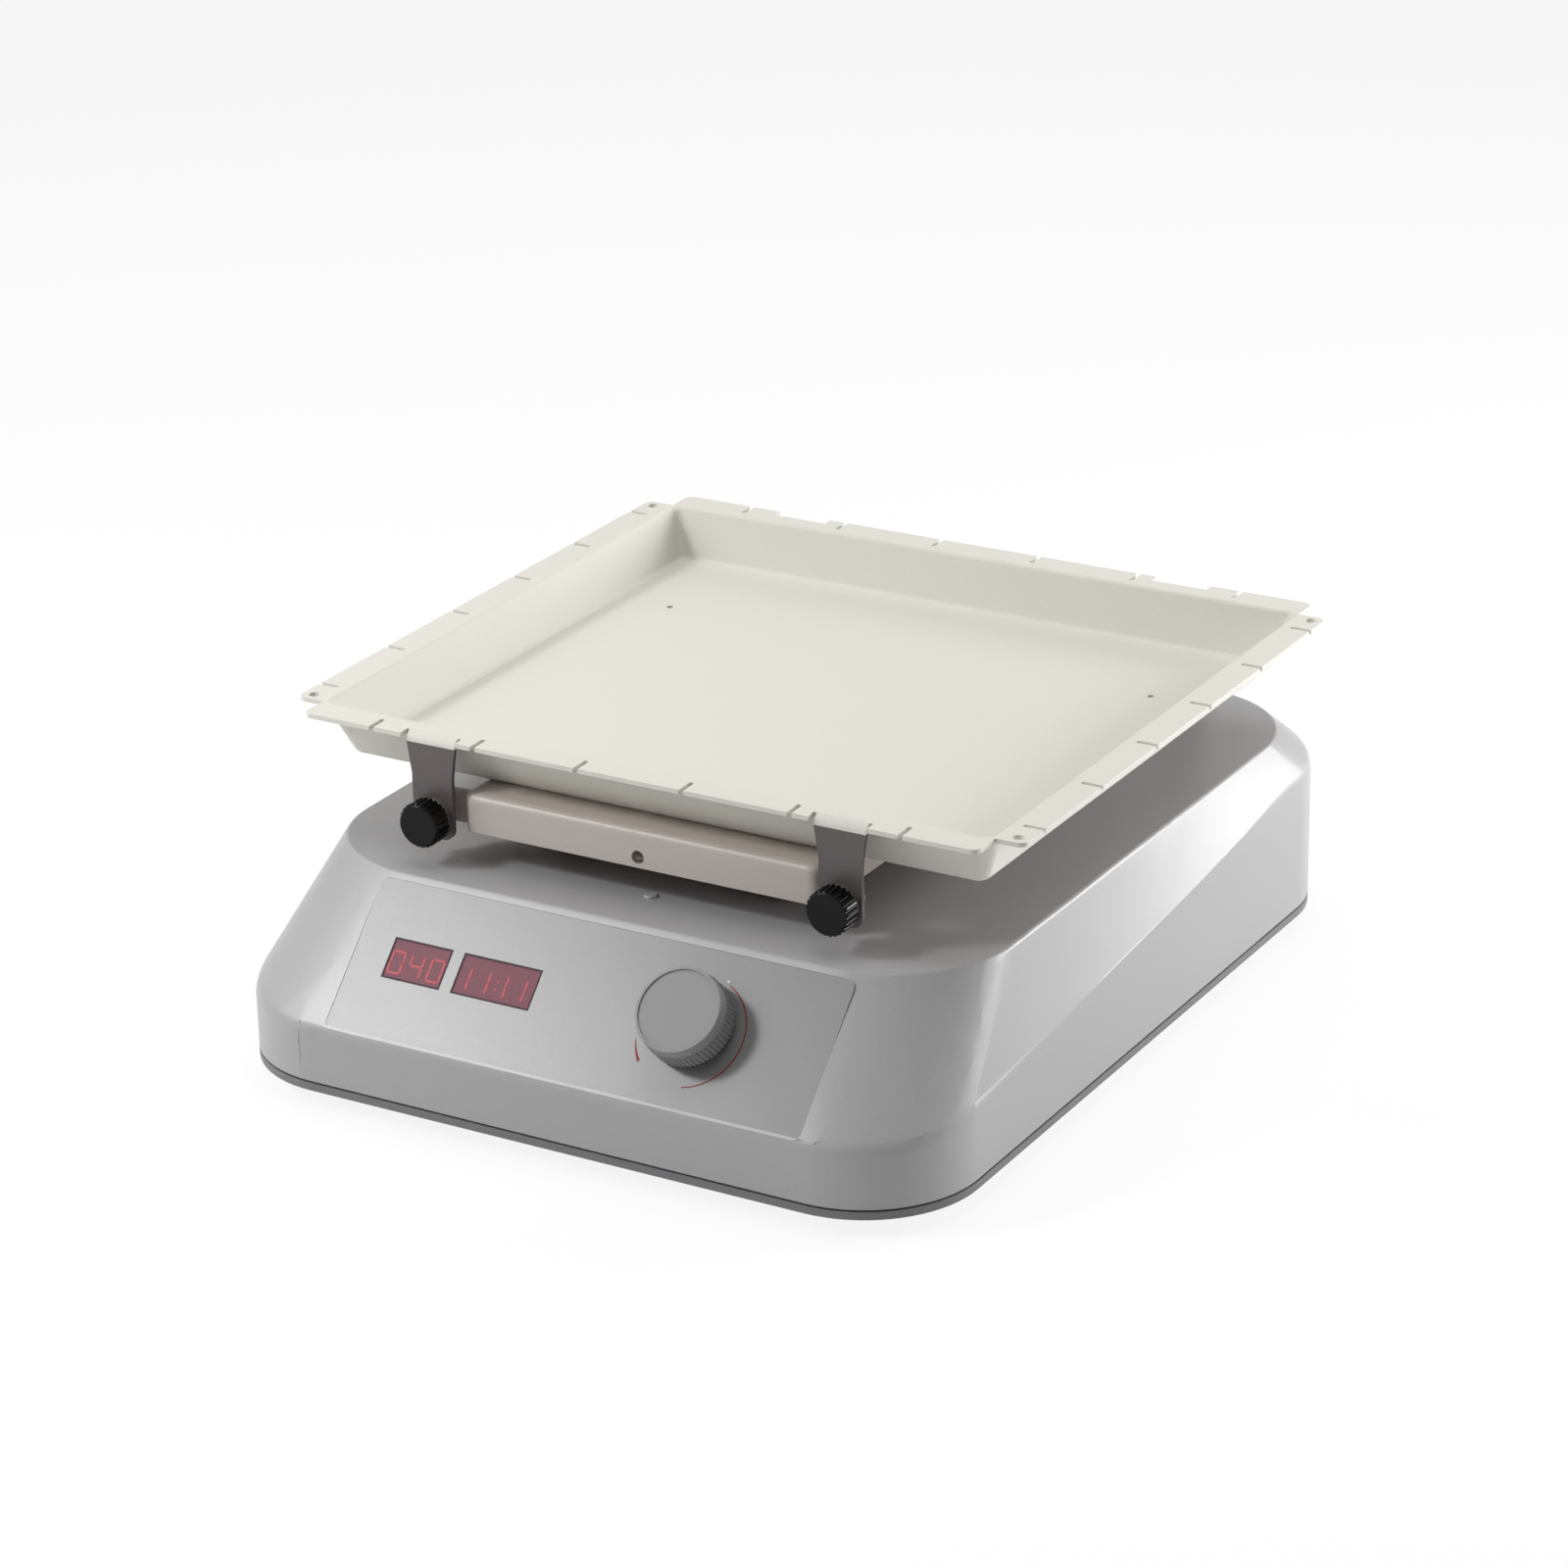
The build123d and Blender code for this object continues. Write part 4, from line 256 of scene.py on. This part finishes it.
def addHousing(settings):
    piece = copyOfNode("housing", "housingShell")
    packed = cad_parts["housing"].data
    oldSurface = BVHTree.FromPolygons(
        [corner.co for corner in packed.vertices], [tuple(face.vertices) for face in packed.polygons]
    )

    def onCrease(edge):
        if len(edge.link_faces) != 2:
            return False
        angle = math.degrees(edge.calc_face_angle_signed(0))
        heights = [corner.co.z for corner in edge.verts]
        level = abs(heights[0] - heights[1]) < 0.6 * edge.calc_length()
        inBand = settings["lowest"] < min(heights) and max(heights) < settings["highest"]
        return 12 < angle < 60 and level and inBand

    selectIn(piece, "EDGE", onCrease)
    bpy.ops.object.mode_set(mode="OBJECT")
    weights = piece.data.attributes.new("bevel_weight_edge", "FLOAT", "EDGE")
    for edge in piece.data.edges:
        if edge.select:
            ends = [piece.data.vertices[corner].co for corner in edge.vertices]
            onFront = max(end.y for end in ends) < settings["frontBefore"]
            weights.data[edge.index].value = settings["frontShare"] if onFront else 1
    modifier = piece.modifiers.new("crease", "BEVEL")
    modifier.limit_method = "WEIGHT"
    modifier.width = settings["creaseWidth"]
    modifier.segments = settings["segments"]
    modifier.use_clamp_overlap = False
    bpy.ops.object.modifier_apply(modifier=modifier.name)
    for corner in piece.data.vertices:
        nearest, normal, _, _ = oldSurface.find_nearest(corner.co)
        if (corner.co - nearest).dot(normal) > settings["mostOutside"]:
            corner.co = nearest  # the bevel pushed a few corners out where facets are narrow
    finishPiece(piece, materials["silverPaint"], "base")
    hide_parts("housing")
    return piece


housing = addHousing(housingSettings)
print("housing done,", len(housing.data.polygons), "faces")


# Tray whose tabs, the rear ones too, carry painted shade: a dark colour of their own with a sharp edge at the
# top, where the real tabs are the tray's own pale sheet in shade

traySettings = {"middle": 0.022, "tabFrom": 0.1545, "tabBelow": 0.1425}


def addTray(settings):
    piece = copyOfNode("tray", "trayForm")
    finishPiece(piece, materials["trayPaint"], "carrier")
    piece.data.materials.append(materials["tabPaintedShade"])
    # faces of the four tabs below the rim get the painted shade
    for face in piece.data.polygons:
        outside = abs(face.center.y - settings["middle"]) > settings["tabFrom"]
        if outside and face.center.z < settings["tabBelow"]:
            face.material_index = 1
    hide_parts("tray")
    return piece


tray = addTray(traySettings)
print("tray done,", len(tray.data.polygons), "faces")



# Display windows: a dark border strip of painted shadow along each window's edge, and lit seven-bar numbers

displays = {
    "speed": {"left": -94.85, "right": -65.75, "digits": "040", "centres": (-90.0, -80.4, -70.6)},
    "time": {"left": -60.3, "right": -21.7, "digits": "1111", "centres": (-54.0, -44.6, -35.9, -26.7)},
}
displaySettings = {
    "low": 28.4, "high": 46.8, "border": 0.9, "thickness": 0.12,
    "digitLow": 30.5, "digitHigh": 41.6, "digitWidth": 7.4, "bar": 1.45, "gap": 0.18, "colon": -40.25,
}
barsOf = {"0": "abcdef", "1": "bc", "4": "bcfg"}


def addBorder(name, window, settings):
    startAlone()
    low, high = settings["low"] / 1000, settings["high"] / 1000
    left, right = window["left"] / 1000, window["right"] / 1000
    middle = ((left + right) / 2, (low + high) / 2, windowLevel)
    bpy.ops.mesh.primitive_plane_add(size=1, location=middle)
    piece = bpy.context.object
    piece.name = name
    piece.scale = (right - left, high - low, 1)
    bpy.ops.object.transform_apply(location=True, rotation=True, scale=True)
    bpy.ops.object.mode_set(mode="EDIT")
    bpy.ops.mesh.select_all(action="SELECT")
    bpy.ops.mesh.inset(thickness=settings["border"] / 1000, depth=0)
    bpy.ops.mesh.delete(type="FACE")  # the inner face is the one that inset leaves selected
    bpy.ops.mesh.select_all(action="SELECT")
    bpy.ops.mesh.extrude_region_move(TRANSFORM_OT_translate={"value": (0, 0, settings["thickness"] / 1000)})
    bpy.ops.object.mode_set(mode="OBJECT")
    ontoSlope(piece)
    finishPiece(piece, materials["windowEdgeShadow"], "base", weighted=False)
    return piece


def addBar(name, length, width, thickness):
    # one bar of a digit: a long hexagon with a softened upper rim
    startAlone()
    bpy.ops.mesh.primitive_circle_add(vertices=6, radius=width / 2, fill_type="NGON", location=(0, 0, 0))
    piece = bpy.context.object
    piece.name = name
    bpy.ops.object.mode_set(mode="EDIT")
    selectIn(piece, "VERT", lambda corner: corner.co.y > width * 0.1)
    bpy.ops.transform.translate(value=(0, length / 2 - width / 2, 0))
    selectIn(piece, "VERT", lambda corner: corner.co.y < -width * 0.1)
    bpy.ops.transform.translate(value=(0, -(length / 2 - width / 2), 0))
    bpy.ops.mesh.select_all(action="SELECT")
    bpy.ops.mesh.extrude_region_move(TRANSFORM_OT_translate={"value": (0, 0, thickness)})
    bpy.ops.transform.resize(value=(0.86, 0.98, 1))
    bpy.ops.object.mode_set(mode="OBJECT")
    return piece


def barPlaces(centre, settings):
    # centre and turn of each of the seven bars, in millimetres on the board
    half = settings["digitWidth"] / 2 - settings["bar"] / 2
    low = settings["digitLow"] + settings["bar"] / 2
    high = settings["digitHigh"] - settings["bar"] / 2
    middle = (low + high) / 2
    tall = (high - low) / 2
    return {
        "a": ((centre, high), 2 * half, 90),
        "b": ((centre + half, (middle + high) / 2), tall, 0),
        "c": ((centre + half, (low + middle) / 2), tall, 0),
        "d": ((centre, low), 2 * half, 90),
        "e": ((centre - half, (low + middle) / 2), tall, 0),
        "f": ((centre - half, (middle + high) / 2), tall, 0),
        "g": ((centre, middle), 2 * half, 90),
    }


def placedBar(place, length, turn, settings, name):
    sizes = (length - settings["gap"], settings["bar"], settings["thickness"])
    bar = addBar(name, *[size / 1000 for size in sizes])
    spot = Matrix.Translation((place[0] / 1000, place[1] / 1000, windowLevel))
    bar.matrix_world = spot @ Matrix.Rotation(math.radians(turn), 4, "Z")
    return bar


def addDigits(name, window, settings, withColon):
    bars = []
    for digit, centre in zip(window["digits"], window["centres"]):
        places = barPlaces(centre, settings)
        for key in barsOf[digit]:
            place, length, turn = places[key]
            if digit == "1":
                place = (centre, place[1])  # a narrow one, set in the middle of its field
            bars.append(placedBar(place, length, turn, settings, name + key))
    if withColon:
        for share in (0.33, 0.67):
            height = settings["digitLow"] + share * (settings["digitHigh"] - settings["digitLow"])
            bars.append(placedBar((settings["colon"], height), 1.6, 0, settings, name + "dot"))
    startAlone()
    for bar in bars:
        bar.select_set(True)
    bpy.context.view_layer.objects.active = bars[0]
    bpy.ops.object.join()
    piece = bpy.context.object
    piece.name = name
    bpy.ops.object.transform_apply(location=True, rotation=True, scale=True)
    ontoSlope(piece)
    finishPiece(piece, materials["redLight"], "base", weighted=False)
    return piece


for windowName, window in displays.items():
    addBorder(windowName + "Border", window, displaySettings)
    addDigits(windowName + "Digits", window, displaySettings, windowName == "time")
print("displays done")


# Printed marks round the speed knob

dialSettings = {
    "centre": (53.4, 35.8), "radius": 24.0, "lineWidth": 0.55, "thickness": 0.05,
    "line": (66, -78), "wedge": (-160, -134), "wedgeWidth": 1.5, "dot": (61.8, 59.6), "dotRadius": 0.55,
}


def addArc(name, centre, radius, fromAngle, toAngle, width, thickness, taper, material):
    # a flat strip along an arc; taper is its width at the start as a share of its width at the end
    startAlone()
    bpy.ops.mesh.primitive_circle_add(vertices=180, radius=radius / 1000, fill_type="NOTHING")
    piece = bpy.context.object
    piece.name = name
    low, high = min(fromAngle, toAngle), max(fromAngle, toAngle)

    def angleOf(corner):
        return math.degrees(math.atan2(corner.co.y, corner.co.x))

    bpy.ops.object.mode_set(mode="EDIT")
    selectIn(piece, "VERT", lambda corner: not low <= angleOf(corner) <= high)
    bpy.ops.mesh.delete(type="VERT")
    bpy.ops.mesh.select_all(action="SELECT")
    bpy.ops.mesh.extrude_edges_move()
    form = bmesh.from_edit_mesh(piece.data)
    for corner in form.verts:
        if corner.select:
            share = (angleOf(corner) - fromAngle) / (toAngle - fromAngle)
            wide = width * (taper + (1 - taper) * share)
            corner.co *= (radius + wide) / radius
    bmesh.update_edit_mesh(piece.data)
    bpy.ops.mesh.select_all(action="SELECT")
    bpy.ops.mesh.normals_make_consistent(inside=False)
    bpy.ops.mesh.extrude_region_move(TRANSFORM_OT_translate={"value": (0, 0, thickness / 1000)})
    bpy.ops.mesh.select_all(action="SELECT")
    bpy.ops.mesh.normals_make_consistent(inside=False)
    bpy.ops.object.mode_set(mode="OBJECT")
    piece.location = (centre[0] / 1000, centre[1] / 1000, filmLevel)
    bpy.ops.object.transform_apply(location=True, rotation=True, scale=True)
    ontoSlope(piece)
    finishPiece(piece, material, "base", weighted=False)
    return piece


def addDot(name, place, radius, thickness, material):
    startAlone()
    bpy.ops.mesh.primitive_circle_add(vertices=24, radius=radius / 1000, fill_type="NGON", location=(0, 0, 0))
    piece = bpy.context.object
    piece.name = name
    bpy.ops.object.mode_set(mode="EDIT")
    bpy.ops.mesh.select_all(action="SELECT")
    bpy.ops.mesh.extrude_region_move(TRANSFORM_OT_translate={"value": (0, 0, thickness / 1000)})
    bpy.ops.transform.resize(value=(0.85, 0.85, 1))
    bpy.ops.object.mode_set(mode="OBJECT")
    piece.location = (place[0] / 1000, place[1] / 1000, filmLevel)
    bpy.ops.object.transform_apply(location=True, rotation=True, scale=True)
    ontoSlope(piece)
    finishPiece(piece, material, "base", weighted=False)
    return piece


centre, radius, thickness = dialSettings["centre"], dialSettings["radius"], dialSettings["thickness"]
inkRed, inkWhite = materials["redInk"], materials["whiteInk"]
addArc("dialLine", centre, radius, *dialSettings["line"], dialSettings["lineWidth"], thickness, 1, inkRed)
addArc("dialWedge", centre, radius, *dialSettings["wedge"], dialSettings["wedgeWidth"], thickness, 0.2, inkRed)
addDot("dialDot", dialSettings["dot"], dialSettings["dotRadius"], thickness, inkWhite)
print("dial marks done")


# Camera at the photograph's angle

cameraSettings = {
    "place": (1.00335, -1.71729, 0.90895),
    "azimuth": 30.451,
    "elevation": 22.238,
    "roll": -1.077,
    "lens": 113.35,
}


def addCamera(settings):
    azimuth = math.radians(settings["azimuth"])
    elevation = math.radians(settings["elevation"])
    roll = math.radians(settings["roll"])
    back = Vector((
        math.sin(azimuth) * math.cos(elevation),
        -math.cos(azimuth) * math.cos(elevation),
        math.sin(elevation),
    ))
    right = Vector((math.cos(azimuth), math.sin(azimuth), 0))
    up = back.cross(right)
    turnedRight = math.cos(roll) * right + math.sin(roll) * up
    turnedUp = -math.sin(roll) * right + math.cos(roll) * up
    data = bpy.data.cameras.new("camera")
    data.lens = settings["lens"]
    data.sensor_width = 36
    data.clip_start = 0.05
    data.clip_end = 50
    camera = bpy.data.objects.new("camera", data)
    bpy.context.scene.collection.objects.link(camera)
    turn = Matrix((turnedRight, turnedUp, back)).transposed()
    camera.matrix_world = Matrix.Translation(settings["place"]) @ turn.to_4x4()
    bpy.context.scene.camera = camera


addCamera(cameraSettings)


# Pale floor, lamps and world

stageSettings = {
    "floorSize": 12.0, "worldLight": 0.1, "whiteToCamera": 0.88, "whiteToGloss": 0.6,
    "paper": {"color": (0.93, 0.93, 0.93), "grain": (60, 0.85, 0.95, 0, 0.004)},
}
lamps = {
    "key": {"place": (-1.18, -1.14, 1.465), "size": (0.3, 0.3), "power": 15},
    "leftNear": {"place": (-0.55, -0.55, 0.5), "size": (0.5, 0.5), "power": 2.2},
    "leftHigh": {"place": (-0.9, 0.0, 0.8), "size": (0.6, 0.6), "power": 1.8},
    "sideCard": {"place": (1.3, 1.5, 0.5), "size": (1.6, 0.9), "power": 3},
    "sideNear": {"place": (0.9, 0.8, 0.4), "size": (0.6, 0.5), "power": 14},
    "topSoft": {"place": (0.0, 0.2, 2.0), "size": (1.6, 1.6), "power": 21},
}


def addLamp(name, settings):
    data = bpy.data.lights.new(name, "AREA")
    data.shape = "RECTANGLE"
    data.size, data.size_y = settings["size"]
    data.energy = settings["power"]
    lamp = bpy.data.objects.new(name, data)
    bpy.context.scene.collection.objects.link(lamp)
    lamp.location = settings["place"]
    lamp.visible_camera = False
    aim = Vector((0, 0, 0.08)) - lamp.location
    lamp.rotation_euler = aim.to_track_quat("-Z", "Y").to_euler()


def whiteShare(tree, toCamera, toGloss):
    # how much of plain white a ray sees: by camera rays, and by reflections and glass
    paths = tree.nodes.new("ShaderNodeLightPath")
    paths.location = (-900, 300)
    camera = tree.nodes.new("ShaderNodeMath")
    camera.operation = "MULTIPLY"
    camera.inputs[1].default_value = toCamera
    camera.location = (-650, 400)
    tree.links.new(paths.outputs["Is Camera Ray"], camera.inputs[0])
    either = tree.nodes.new("ShaderNodeMath")
    either.operation = "MAXIMUM"
    either.location = (-650, 200)
    tree.links.new(paths.outputs["Is Glossy Ray"], either.inputs[0])
    tree.links.new(paths.outputs["Is Transmission Ray"], either.inputs[1])
    gloss = tree.nodes.new("ShaderNodeMath")
    gloss.operation = "MULTIPLY"
    gloss.inputs[1].default_value = toGloss
    gloss.location = (-450, 200)
    tree.links.new(either.outputs["Value"], gloss.inputs[0])
    share = tree.nodes.new("ShaderNodeMath")
    share.operation = "MAXIMUM"
    share.location = (-250, 300)
    tree.links.new(camera.outputs["Value"], share.inputs[0])
    tree.links.new(gloss.outputs["Value"], share.inputs[1])
    return share.outputs["Value"]


def addFloor(settings):
    # paper that takes the shadow, under a veil of plain white
    startAlone()
    bpy.ops.mesh.primitive_plane_add(size=settings["floorSize"], location=(0, 0, 0))
    floor = bpy.context.object
    floor.name = "floor"
    material = newMaterial("floorPaper", settings["paper"])
    tree = material.node_tree
    white = addNode(material, "ShaderNodeEmission", (0, 300))
    white.inputs["Color"].default_value = (1, 1, 1, 1)
    white.inputs["Strength"].default_value = 1
    mix = addNode(material, "ShaderNodeMixShader", (250, 200))
    link(material, whiteShare(tree, settings["whiteToCamera"], settings["whiteToGloss"]), mix.inputs["Fac"])
    link(material, tree.nodes["Principled BSDF"].outputs["BSDF"], mix.inputs[1])
    link(material, white.outputs["Emission"], mix.inputs[2])
    link(material, mix.outputs["Shader"], tree.nodes["Material Output"].inputs["Surface"])
    floor.data.materials.append(material)


def addWorld(settings):
    world = bpy.data.worlds.new("studio")
    world.use_nodes = True
    bpy.context.scene.world = world
    tree = world.node_tree
    background = tree.nodes["Background"]
    background.inputs["Color"].default_value = (1, 1, 1, 1)
    background.inputs["Strength"].default_value = settings["worldLight"]
    white = tree.nodes.new("ShaderNodeBackground")
    white.inputs["Color"].default_value = (1, 1, 1, 1)
    white.inputs["Strength"].default_value = 1
    mix = tree.nodes.new("ShaderNodeMixShader")
    tree.links.new(whiteShare(tree, 1.0, settings["whiteToGloss"]), mix.inputs["Fac"])
    tree.links.new(background.outputs["Background"], mix.inputs[1])
    tree.links.new(white.outputs["Background"], mix.inputs[2])
    tree.links.new(mix.outputs["Shader"], tree.nodes["World Output"].inputs["Surface"])


addFloor(stageSettings)
addWorld(stageSettings)
for lampName, lampSettings in lamps.items():
    addLamp(lampName, lampSettings)
bpy.context.scene.view_settings.view_transform = "Standard"
print("camera, floor and lamps placed")

bpy.context.view_layer.update()
